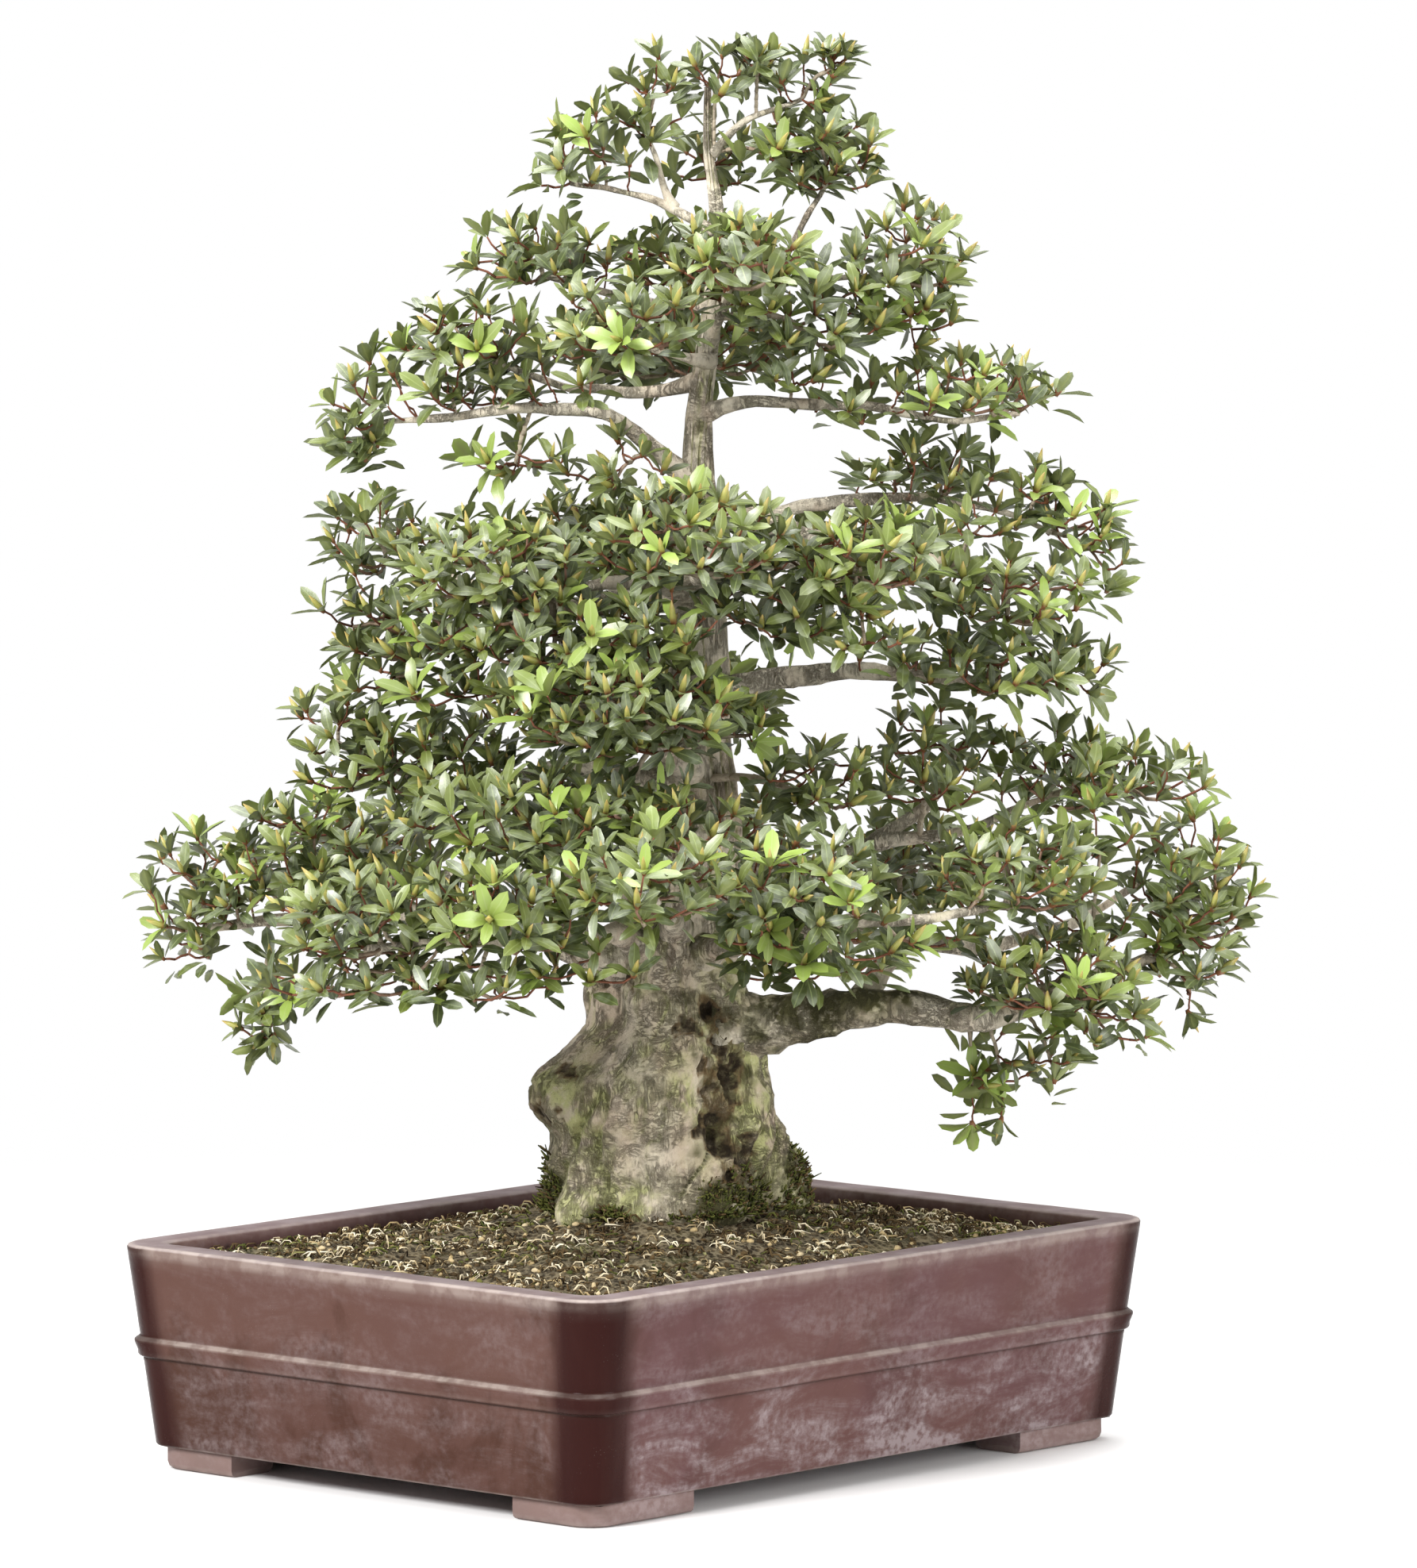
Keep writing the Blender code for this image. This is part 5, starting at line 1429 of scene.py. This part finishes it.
@dataclass
class Soil:
    """The mound of soil with its tangle of dry and green moss."""

    pot: Pot
    edge: float = 118 * MM
    crest: float = 26 * MM
    crest_reach: float = 95 * MM
    gap: float = 0.3 * MM
    rows: int = 84
    strands: int = 4100
    crumbs: int = 1500
    tufts: int = 2600

    def border(self, z: float) -> np.ndarray:
        """Outline of the soil against the pot's inner wall at height z, X and Y."""
        inset = np.array([self.pot.rim + self.pot.inset(z) + self.gap])
        return self.pot.outline(inset, np.linspace(0, 1, 46)[1:-1], 9)[0]

    def surface(self) -> np.ndarray:
        """Top of the mound, rows by columns by 3, from the pot's wall to under the trunk.

        Formula: the inner outline shrinks towards the trunk's foot; the height is the
        edge plus a bell of the distance from the trunk, with lumps.
        """
        border = self.border(self.edge)
        middle = to_pot(TRUNK_FOOT)[:2]
        share = np.linspace(0, 0.96, self.rows)[:, None, None]
        flat = border + (middle - border) * share
        off = np.linalg.norm(flat - middle, axis=-1) / self.crest_reach
        near = np.minimum(1.0, 3 * share[..., 0])
        rise = self.crest * (0.72 * np.exp(-off * off) + 0.28 * np.exp(-off / 2)) * near
        lumps = noise(np.concatenate((flat, np.zeros(flat.shape[:2] + (1,))), -1), 20 * MM, 51, 4)
        z = self.edge + rise + lumps * 3.0 * MM * np.minimum(1.0, 8 * share[..., 0])
        return np.concatenate((flat, z[..., None]), -1)

    def make(self, look: bpy.types.Material) -> bpy.types.Object:
        """Build and dress the body of soil, closed down to the pot's floor."""
        top = self.surface()
        floor = self.pot.floor + self.gap
        foot = self.border(floor)
        foot = np.concatenate((foot, np.full((len(foot), 1), floor)), -1)
        low = foot * (0, 0, 1)
        high = np.broadcast_to(top[-1].mean(0), top[-1].shape)
        rows = np.concatenate((low[None], foot[None], top, high[None]))
        skin = Skin()
        skin.add(rows, [grid_faces(rows.shape[0], rows.shape[1], wrap=True)])
        soil = skin.piece("soil_mound", look)
        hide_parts("soil")
        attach(soil, "root")
        return soil

    def scatter(self, draw: np.random.Generator, count: int) -> np.ndarray:
        """Random places on the mound, evenly over its area."""
        top = self.surface()
        a, b = top[:-1, :-1], top[1:, 1:]
        area = np.linalg.norm(np.cross(top[:-1, 1:] - a, top[1:, :-1] - a), axis=-1).ravel()
        cell = draw.choice(len(area), count, p=area / area.sum())
        t, s = draw.random((2, count, 1))
        corners = [block.reshape(-1, 3)[cell] for block in (a, top[:-1, 1:], top[1:, :-1], b)]
        near = corners[0] * (1 - t) + corners[1] * t
        far = corners[2] * (1 - t) + corners[3] * t
        return near * (1 - s) + far * s

    def dress(self, skin: Skin, name: str, look: bpy.types.Material) -> bpy.types.Object:
        """Turn a gathered growth into a piece that stays on the soil."""
        made = skin.piece(name, look)
        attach(made, "root")
        return made

    def within(self, paths: np.ndarray) -> np.ndarray:
        """Keep paths off the pot's inner wall."""
        wall = self.pot.rim + self.pot.inset(self.edge) + 1.5 * MM
        limit = np.array((self.pot.length / 2 - wall, self.pot.width / 2 - wall, 1.0))
        return np.clip(paths, -limit, limit)

    def strands_over(self, look: bpy.types.Material) -> bpy.types.Object:
        """Dry and green strands that curl over the soil, with crumbs between them.

        Formula: each strand is an arch over the soil on a random heading, a low
        parabola in height, thinned to a point; a crumb is a short thick one.
        """
        draw = np.random.default_rng(SEED)
        count = self.strands
        start = self.scatter(draw, 3 * count)
        order = np.argsort(noise(start, 13 * MM, 62, 2) + draw.normal(0, 0.35, 3 * count))
        start = start[order[-count:]]
        heading = draw.uniform(0, math.tau, count)
        length = draw.uniform(3, 11, count) * MM
        lift = draw.uniform(0.4, 4.5, count) * MM
        curl = draw.normal(0, 1.5, count)
        t = np.linspace(0, 1, 4)
        way = heading[:, None] + curl[:, None] * t
        run = length[:, None] * t
        flat = np.stack((np.cos(way), np.sin(way)), -1) * run[..., None]
        arch = lift[:, None] * 4 * t * (1 - t) + 0.5 * MM
        paths = np.concatenate((start[:, None, :2] + flat, (start[:, 2:3] + arch)[..., None]), -1)
        radii = draw.uniform(0.25, 0.8, count)[:, None] * MM * (1 - 0.7 * t**2)
        points, faces = tube_shell(self.within(paths), radii, 3)
        skin = Skin()
        skin.add(points, faces, tone=np.repeat(self.tones(draw, start, 0.62), points.shape[1]))
        start = self.scatter(draw, self.crumbs)
        along = unit(draw.normal(size=(self.crumbs, 3)) * (1, 1, 0.35))
        size = draw.uniform(0.7, 2.1, self.crumbs)[:, None] * MM
        t = np.linspace(-1, 1, 3)
        paths = start[:, None] + along[:, None] * (t * size)[..., None] + (0, 0, 0.5 * MM)
        swell = np.array((0.55, 0.9, 0.5))
        points, faces = tube_shell(self.within(paths), size * swell, 4)
        skin.add(points, faces, tone=np.repeat(self.tones(draw, start, 0.44), points.shape[1]))
        return self.dress(skin, "soil_moss", look)

    def tones(self, draw: np.random.Generator, start: np.ndarray, palest: float) -> np.ndarray:
        """Tone of each strand: green near the trunk and in drifts, straw and brown elsewhere."""
        count = len(start)
        off = np.linalg.norm(start[:, :2] - to_pot(TRUNK_FOOT)[:2], axis=-1)
        green = 0.6 * noise(start, 45 * MM, 61, 2) + 0.4 * bell(off / self.crest_reach)
        green = np.clip(green, 0, 1)
        pale = 0.5 + 0.5 * noise(start, 28 * MM, 63, 2)
        light = draw.random(count) < 0.12 + 0.5 * pale
        dry = np.where(light, draw.uniform(0.3, palest, count), draw.uniform(0.0, 0.16, count))
        return np.where(draw.random(count) < 0.10 + 0.8 * green, draw.uniform(0.70, 1.0, count), dry)

    def skirt(self, trunk: Trunk, look: bpy.types.Material) -> bpy.types.Object:
        """Short upright strands in tufts round the trunk's foot."""
        draw = np.random.default_rng(SEED + 1)
        count = self.tufts
        tuft = draw.integers(0, len(TUFTS), count)
        middle, width, height = np.array(TUFTS, float)[tuft].T
        angle = middle + draw.normal(0, 0.62, count) * width
        fall = bell((angle - middle) / width)
        z = 142 + draw.random(count) ** 1.6 * height * fall
        mid_u, mid_w, radius = trunk.axis(z)
        reach = trunk.reach(angle, z, radius) + draw.uniform(-2.5, 0.5, count)
        root = trunk.around(mid_u, mid_w, reach, angle, z - 2)
        out = trunk.around(0, 0, 1, angle, np.zeros(count))
        length = draw.uniform(1.4, 3.2, count)[:, None]
        lean = draw.uniform(0.2, 1.0, count)[:, None]
        rise = np.array((0, 0, 0.6)) + draw.normal(0, 0.6, (count, 3))
        t = np.linspace(0, 1, 3)[:, None]
        paths = root[:, None] + (rise[:, None] * t + out[:, None] * lean[:, None] * t) * length[:, None]
        radii = draw.uniform(0.45, 1.0, count)[:, None] * MM * (1 - 0.5 * t[:, 0] ** 2)
        points, faces = tube_shell(to_pot(paths), radii, 3)
        green = draw.random(count) < 0.7
        tone = np.where(green, draw.uniform(0.80, 1.0, count), draw.uniform(0.0, 0.25, count))
        skin = Skin()
        skin.add(points, faces, tone=np.repeat(tone, points.shape[1]))
        return self.dress(skin, "trunk_moss", look)


@dataclass
class Leaves:
    """Shapes of a leaf and of a bud, laid on many places at once."""

    rows: tuple = (0.0, 0.2, 0.52, 0.84, 1.0)
    across: tuple = (-1.0, 0.0, 1.0)
    fewest: int = 4
    ring_leaves: int = 6
    low_leaves: int = 3
    low_share: float = 0.6
    fresh_share: float = 0.14
    bud_share: float = 0.93

    def leaf_faces(self) -> list[np.ndarray]:
        """Faces of one leaf: base point, inner rows with one point under the rib, tip point."""
        inner = len(self.rows) - 2
        wide = len(self.across)
        ring = 1 + np.arange(inner * (wide + 1)).reshape(inner, wide + 1)
        tip = 1 + ring.size
        over = list(zip(range(wide - 1), range(1, wide)))
        under = [(wide, 0), (wide - 1, wide)]
        quads, tris = [], []
        for a, b in over + under:
            for row in range(inner - 1):
                quads.append((ring[row, a], ring[row, b], ring[row + 1, b], ring[row + 1, a]))
            tris.append((0, ring[0, b], ring[0, a]))
            tris.append((tip, ring[-1, a], ring[-1, b]))
        return [np.array(quads), np.array(tris)]

    def add_leaves(
        self, skin: Skin, root: np.ndarray, along: np.ndarray, upper: np.ndarray,
        length: np.ndarray, width: np.ndarray, bend: np.ndarray, age: np.ndarray,
    ) -> None:
        """Lay leaves on places.

        Formula: the middle line is an arc that bends back from the upper side; each
        cross-section rises a little from the rib to its edges, as wide as
        sin(pi t^1.2)^0.62; the underside meets it at the edges.

        Args:
            skin: Where the leaves are gathered.
            root: Places in metres, one a leaf.
            along: Directions of the leaves.
            upper: Directions that their upper sides face, square to along.
            length: Lengths in metres.
            width: Widths in metres.
            bend: How far each leaf turns back, in radians.
            age: From 0, fresh, to 1, old.
        """
        t = np.array(self.rows)
        shape = np.sin(math.pi * t**1.2) ** 0.62
        half = width[:, None] / 2 * shape
        turn = bend[:, None] * t
        curl = np.maximum(bend, 1e-3)[:, None]
        line_x = length[:, None] * np.sin(turn) / curl
        line_z = -length[:, None] * (1 - np.cos(turn)) / curl
        side = np.cross(upper, along)
        out = np.sin(turn)[..., None] * along[:, None] + np.cos(turn)[..., None] * upper[:, None]
        middle = root[:, None] + line_x[..., None] * along[:, None] + line_z[..., None] * upper[:, None]
        a = np.array(self.across)
        channel = 0.16 * np.abs(a)
        rows = (
            middle[:, :, None]
            + side[:, None, None] * (half[:, :, None] * a)[..., None]
            + out[:, :, None] * (half[:, :, None] * channel)[..., None]
        )
        under = middle - out * (0.20 * half + 0.15 * MM)[..., None]
        inner = np.concatenate((rows[:, 1:-1], under[:, 1:-1, None]), 2)
        count = len(root)
        points = np.concatenate((middle[:, :1], inner.reshape(count, -1, 3), middle[:, -1:]), 1)
        size = points.shape[1]
        faces = repeated(self.leaf_faces(), count, size)
        inner_rows = len(self.rows) - 2
        one_across, one_under = (
            np.array([0.0, *[*over, under] * inner_rows, 0.0])
            for over, under in ((self.across, 0.0), ((0.0,) * len(a), 1.0))
        )
        skin.add(
            points, faces, age=np.repeat(age, size),
            across=np.tile(one_across, count), under=np.tile(one_under, count),
        )

    @staticmethod
    def add_buds(
        skin: Skin, root: np.ndarray, axis: np.ndarray, length: np.ndarray, width: np.ndarray
    ) -> None:
        """Lay buds on places.

        Formula: circles whose radius swells to the full width at a third of the length
        and draws out to a point, carried along the axis.
        """
        t = np.array((0.0, 0.22, 0.62, 0.97))
        swell = np.array((0.55, 1.0, 0.76, 0.1))
        paths = root[:, None] + axis[:, None] * (length[:, None] * t)[..., None]
        points, faces = tube_shell(paths, width[:, None] / 2 * swell, 4)
        one = np.concatenate((np.repeat(t, 4), (0.0, 1.0)))
        skin.add(points, faces, along=np.tile(one, len(root)))

    def add_rosettes(
        self, leaves: Skin, buds: Skin, tips: np.ndarray, axis: np.ndarray, draw: np.random.Generator
    ) -> None:
        """Four to six leaves round each tip, up to three lower on the twig, and a bud in the middle."""
        count = len(tips)
        helper = np.where(np.abs(axis[:, 2:3]) < 0.9, (0.0, 0.0, 1.0), (1.0, 0.0, 0.0))
        first = unit(np.cross(axis, helper))
        second = np.cross(axis, first)
        fresh = draw.random(count) < self.fresh_share
        base_age = np.where(fresh, draw.uniform(0.0, 0.35, count), draw.uniform(0.45, 1.0, count))
        size = np.where(fresh, draw.uniform(0.95, 1.2, count), draw.uniform(0.82, 1.08, count))
        phase = draw.uniform(0, math.tau, count)
        number = draw.integers(self.fewest, self.ring_leaves + 1, count)
        columns = []
        for leaf in range(self.ring_leaves + self.low_leaves):
            ring = leaf < self.ring_leaves
            used = number > leaf if ring else draw.random(count) < self.low_share
            turn = phase + math.tau * leaf / number + draw.normal(0, 0.16, count)
            if not ring:
                turn = draw.uniform(0, math.tau, count)
            opening = draw.uniform(0.3, 1.05, count) if ring else draw.uniform(0.9, 1.6, count)
            radial = first * np.cos(turn)[:, None] + second * np.sin(turn)[:, None]
            along = axis * np.cos(opening)[:, None] + radial * np.sin(opening)[:, None]
            upper = axis * np.sin(opening)[:, None] - radial * np.cos(opening)[:, None]
            drop = 0.0 if ring else draw.uniform(2.5, 13, count)[:, None] * MM
            root = tips + radial * 0.7 * MM - axis * drop
            length = draw.uniform(15.5, 21.5, count) * size * MM
            age = np.clip(base_age + draw.normal(0, 0.1, count) + (0.0 if ring else 0.15), 0, 1)
            width = length * draw.uniform(0.33, 0.42, count)
            bend = draw.uniform(0.15, 0.95, count)
            columns.append([column[used] for column in (root, along, upper, length, width, bend, age)])
        self.add_leaves(leaves, *[np.concatenate(column) for column in zip(*columns)])
        used = draw.random(count) < self.bud_share
        length = draw.uniform(11, 17, count) * MM
        tilted = unit(axis + draw.normal(0, 0.08, axis.shape))
        width = length * draw.uniform(0.28, 0.36, count)
        self.add_buds(buds, *[column[used] for column in (tips - axis * 1 * MM, tilted, length, width)])


@dataclass
class Spray:
    """One spray of foliage: twigs that fork out to rosettes of leaves round a bud."""

    index: int
    name: str
    middle: tuple
    reach: tuple
    share: float = 5900.0
    rim: float = 7.0
    loose: bool = False
    trials: int = 2600
    overlap: float = 3.0
    clearance: float = 9.0
    neighbourhood: float = 300.0
    fewest: int = 5
    most: int = 90

    def rooms(self, points: np.ndarray) -> np.ndarray:
        """Distance in millimetres from places to the planes round this spray's cell."""
        stretch = np.array((1, 1, 1.6))
        middles = np.array([pad[1] for pad in PADS]) * stretch
        weights = np.array([pad[2][0] for pad in PADS], float) ** 2
        here = points * stretch
        own = ((here - middles[self.index]) ** 2).sum(-1) - weights[self.index]
        power = ((here[:, None] - middles) ** 2).sum(-1) - weights
        between = np.linalg.norm(middles - middles[self.index], axis=-1)
        between[self.index] = 1.0
        room = (power - own[:, None]) / (2 * between)
        room[:, self.index] = np.inf
        room[:, between > self.neighbourhood] = np.inf
        return room.min(1)

    def tips(self, trunk: Trunk, draw: np.random.Generator) -> np.ndarray:
        """Places of the twig tips, evenly far apart, more of them towards the outside and the top.

        Formula: of many random places in the spray, the highest is taken first, then
        again and again the one farthest from those taken.
        """
        wide, high = self.reach[0] - self.rim, self.reach[1] - 0.6 * self.rim
        ball = unit(draw.normal(size=(self.trials, 3)))
        ball = ball * draw.random((self.trials, 1)) ** 0.42
        ball[:, 2] = np.where(ball[:, 2] < 0, ball[:, 2] * 0.82, ball[:, 2])
        points = np.array(self.middle) + ball * (wide, wide, high)
        if not self.loose:
            points = points[self.rooms(points) > -self.overlap]
        mid_u, mid_w, radius = trunk.axis(points[:, 2])
        clear = np.hypot(points[:, 0] - mid_u, points[:, 1] - mid_w) - radius
        points = points[clear > self.clearance]
        volume = 4.19 * wide * wide * high * len(points) / self.trials
        count = int(np.clip(round(volume / self.share), self.fewest, self.most))
        chosen = [int(np.argmax(points[:, 2]))]
        stretch = np.array((1, 1, 1.25))
        gap = np.linalg.norm((points - points[chosen[0]]) * stretch, axis=-1)
        while len(chosen) < count:
            nearest = int(np.argmax(gap))
            chosen.append(nearest)
            gap = np.minimum(gap, np.linalg.norm((points - points[nearest]) * stretch, axis=-1))
        return points[chosen]

    def grow(
        self, tips: np.ndarray, places: np.ndarray, trunk_middle: np.ndarray
    ) -> tuple[tuple[np.ndarray, np.ndarray], np.ndarray, np.ndarray]:
        """Join the tips to the nearest limb by forking twigs.

        Each tip in turn is tied to the place that costs least: its distance plus a
        share of the way back to the limb.

        Args:
            tips: Places of the tips.
            places: Places along the limbs.
            trunk_middle: Middle of the trunk at this height.

        Returns:
            Start and end of each twig, how many tips each one feeds, and each tip's direction.
        """
        goal = np.array(self.middle, float)
        inner = np.linalg.norm(places[:, :2] - trunk_middle[:2], axis=-1)
        out_goal = np.linalg.norm(goal[:2] - trunk_middle[:2])
        cost = np.linalg.norm(places - goal, axis=-1) + 2 * np.clip(inner - out_goal, 0, None)
        cost = cost + np.clip(places[:, 2] - goal[2], 0, None)
        root = places[int(np.argmin(cost))]
        knee = root * 0.45 + goal * 0.55 + (0, 0, 2)
        spine = smooth_path((root, knee, goal - (0, 0, 0.3 * self.reach[1])), 7)
        run = np.linalg.norm(np.diff(spine, axis=0), axis=-1)
        beside = places[np.linalg.norm(places - goal, axis=-1) < self.reach[0] * 0.95][::3]
        nodes = [*spine, *beside]
        parent = [*range(-1, len(spine) - 1), *[-1] * len(beside)]
        back = [0.0, *np.cumsum(run), *[0.0] * len(beside)]
        order = np.argsort(np.linalg.norm(tips - goal, axis=-1))
        ends = []
        for index in order:
            tip = tips[index]
            stack = np.array(nodes)
            off = np.linalg.norm(stack - tip, axis=-1)
            sink = np.clip(stack[:, 2] - tip[2], 0, None)
            pick = int(np.argmin(off + 0.28 * np.array(back) + 0.8 * sink))
            start = nodes[pick]
            knee = start * 0.45 + tip * 0.55 - np.array((0, 0, 0.10 * off[pick]))
            nodes.append(knee)
            parent.append(pick)
            back.append(back[pick] + float(off[pick]) * 0.55)
            nodes.append(tip)
            parent.append(len(nodes) - 2)
            back.append(back[pick] + float(off[pick]))
            ends.append(len(nodes) - 1)
        load = np.zeros(len(nodes))
        for at in ends:
            while at >= 0:
                load[at] += 1
                at = parent[at]
        stack, parent = np.array(nodes), np.array(parent)
        heading = np.zeros_like(tips)
        heading[order] = stack[ends] - stack[parent[ends]]
        used = np.flatnonzero((parent >= 0) & (load > 0))
        return (stack[parent[used]], stack[used]), load[used], unit(heading)

    @staticmethod
    def add_twigs(
        skin: Skin, ends: tuple[np.ndarray, np.ndarray], load: np.ndarray, draw: np.random.Generator
    ) -> None:
        """Twigs as short bent tubes, thicker where they feed more tips."""
        start, finish = ends
        t = np.linspace(0, 1, 3)[None, :, None]
        length = np.linalg.norm(finish - start, axis=-1)[:, None, None]
        sway = draw.normal(0, 0.07, (len(start), 1, 3)) * length
        paths = start[:, None] * (1 - t) + finish[:, None] * t + sway * 4 * t * (1 - t)
        radius = np.minimum(0.72 * load**0.42, 3.0)
        taper = np.linspace(1.04, 0.9, 3)
        radii = radius[:, None] * taper * MM
        points, faces = tube_shell(to_pot(paths), radii, 4)
        age = step(np.repeat(radius, points.shape[1]), 0.7, 1.5)
        skin.add(points, faces, age=age)

    def clusters(self) -> list["Spray"]:
        """The spray itself and the loose growth that belongs to it."""
        loose = [
            Spray(self.index, self.name, middle, reach, share=6800.0, rim=6.0, loose=True)
            for name, middle, reach in FILLS
            if name == self.name
        ]
        return [self] + loose

    def make(
        self, trunk: Trunk, limbs: np.ndarray, shapes: Leaves,
        box: tuple[np.ndarray, np.ndarray], looks: dict[str, bpy.types.Material],
    ) -> list[bpy.types.Object]:
        """Build and dress the spray's leaves, buds and twigs."""
        draw = np.random.default_rng(SEED + self.index)
        low, high = box
        leaves, buds, twigs = Skin(), Skin(), Skin()
        for cluster in self.clusters():
            tips = cluster.held(cluster.tips(trunk, draw), low, high)
            mid_u, mid_w, _ = trunk.axis(np.array([cluster.middle[2]], float))
            trunk_middle = np.array((mid_u[0], mid_w[0], cluster.middle[2]))
            ends, load, heading = cluster.grow(tips, limbs, trunk_middle)
            cluster.add_twigs(twigs, ends, load, draw)
            axis = cluster.axes(tips, heading, trunk_middle, draw)
            shapes.add_rosettes(leaves, buds, to_pot(tips), axis, draw)
        made = []
        for label, skin, slot, crease in (
            ("leaves", leaves, "foliage", 70.0),
            ("buds", buds, "foliage", SMOOTH),
            ("twigs", twigs, "bark", SMOOTH),
        ):
            self.hold_inside(skin, low, high)
            piece = skin.piece(f"{label}_{self.name}", looks[label], crease)
            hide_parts(f"spray_{self.name}")
            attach(piece, "root")
            made.append(piece)
        return made

    @staticmethod
    def held(tips: np.ndarray, low: np.ndarray, high: np.ndarray) -> np.ndarray:
        """Tips moved in from the whole object's box by about the length that leaves stand out."""
        reach = 15 * MM
        x, y, z = np.clip(to_pot(tips), low + reach, high - reach).T / MM
        cos, sin = math.cos(-VIEW_TURN), math.sin(-VIEW_TURN)
        return np.stack((x * cos - y * sin, x * sin + y * cos, z), -1)

    @staticmethod
    def hold_inside(skin: Skin, low: np.ndarray, high: np.ndarray) -> None:
        """Press what would pass the whole object's box back onto it."""
        skin.points = [np.clip(block, low + 0.4 * MM, high - 0.4 * MM) for block in skin.points]

    def axes(
        self, tips: np.ndarray, heading: np.ndarray, trunk_middle: np.ndarray, draw: np.random.Generator
    ) -> np.ndarray:
        """Direction of each rosette: out of the spray, away from the trunk and up."""
        goal = np.array(self.middle, float)
        squash = np.array((1 / self.reach[0], 1 / self.reach[0], 1 / self.reach[1]))
        out = unit((tips - goal) * squash)
        away = unit((tips - trunk_middle) * (1, 1, 0))
        up = np.array((0, 0, -0.2 if "droop" in self.name else 1.0))
        mixed = 0.42 * out + 0.42 * away + up + 0.25 * heading + draw.normal(0, 0.27, tips.shape)
        return unit(to_pot(mixed))


@dataclass
class Studio:
    """Camera, pale floor, plain background and soft lights."""

    distance: float = 5.504
    eye: float = 0.855
    pitch: float = 0.0857
    yaw: float = 0.0072
    lens: float = 224.0
    ambient: float = 0.68
    floor_sides: int = 96
    floor_rings: int = 12

    def camera(self) -> None:
        """Place the camera where the tree is shown from."""
        data = bpy.data.cameras.new("camera")
        data.lens = self.lens
        data.sensor_width = 36.0
        data.sensor_fit = "AUTO"
        made = bpy.data.objects.new("camera", data)
        bpy.context.scene.collection.objects.link(made)
        turn = -VIEW_TURN
        made.location = (-self.distance * math.sin(turn), -self.distance * math.cos(turn), self.eye)
        made.rotation_euler = (math.pi / 2 - self.pitch, 0.0, VIEW_TURN - self.yaw)
        bpy.context.scene.camera = made

    def floor(self) -> None:
        """A round pale floor, a grid of concentric circles that ends where its colour has faded out."""
        turn = circle(self.floor_sides)
        reach = np.linspace(0.02, FLOOR_REACH, self.floor_rings)[:, None]
        points = np.stack((reach * np.cos(turn), reach * np.sin(turn), 0 * reach * turn), -1)
        skin = Skin()
        skin.add(points, [grid_faces(self.floor_rings, self.floor_sides, wrap=True)[:, ::-1]])
        skin.piece("studio_floor", FloorFinish().make())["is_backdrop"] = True

    def lamp(self, name: str, at: tuple, size: float, power: float) -> None:
        """A square soft light that faces the tree."""
        data = bpy.data.lights.new(name, "AREA")
        data.shape = "SQUARE"
        data.size = size
        data.energy = power
        made = bpy.data.objects.new(name, data)
        bpy.context.scene.collection.objects.link(made)
        goal = np.array((0.0, 0.0, 0.4))
        place = to_pot(np.array(at) * 1000.0)
        away = place - goal
        made.location = place
        yaw = math.atan2(away[1], away[0]) + math.pi / 2
        made.rotation_euler = (math.atan2(math.hypot(away[0], away[1]), away[2]), 0.0, yaw)

    def light(self) -> None:
        """White surroundings that light the tree more softly than they look, and three soft lights."""
        world = bpy.data.worlds.new("studio")
        world.use_nodes = True
        nodes, links = world.node_tree.nodes, world.node_tree.links
        around = nodes["Background"]
        around.inputs["Color"].default_value = (1.0, 1.0, 1.0, 1.0)
        path = nodes.new("ShaderNodeLightPath")
        level = nodes.new("ShaderNodeMapRange")
        level.inputs["To Min"].default_value = self.ambient
        level.inputs["To Max"].default_value = 1.0
        links.new(path.outputs["Is Camera Ray"], level.inputs["Value"])
        links.new(level.outputs["Result"], around.inputs["Strength"])
        bpy.context.scene.world = world
        for lamp in LAMPS:
            self.lamp(*lamp)
        settings = bpy.context.scene.view_settings
        settings.view_transform = "Standard"
        settings.look = "None"


def build() -> None:
    """Make every piece in order."""
    logging.basicConfig(level=logging.INFO, format="%(message)s")
    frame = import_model()
    box = tuple(np.array(corner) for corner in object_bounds())
    bark = BarkFinish().make()
    moss = MossFinish().make()
    pot = Pot()
    pot.make(frame, ClayFinish().make())
    screen = ScreenFinish().make()
    for side in Side:
        node = frame["nodes"][f"screen_{side.name.lower()}"]
        node.data.materials.clear()
        node.data.materials.append(screen)
    trunk = Trunk()
    trunk.make(bark)
    limbs = Limbs()
    limbs.make(bark)
    soil = Soil(pot)
    soil.make(SoilFinish().make())
    soil.strands_over(moss)
    soil.skirt(trunk, moss)
    shapes = Leaves()
    looks = {"leaves": LeafFinish().make(), "buds": BudFinish().make(), "twigs": TwigFinish().make()}
    samples = limbs.samples()
    for index, (name, middle, reach) in enumerate(PADS):
        Spray(index, name, middle, reach).make(trunk, samples, shapes, box, looks)
    studio = Studio()
    studio.camera()
    studio.floor()
    studio.light()


def main() -> None:
    """Build the dressed model."""
    build()


if __name__ == "__main__":
    main()
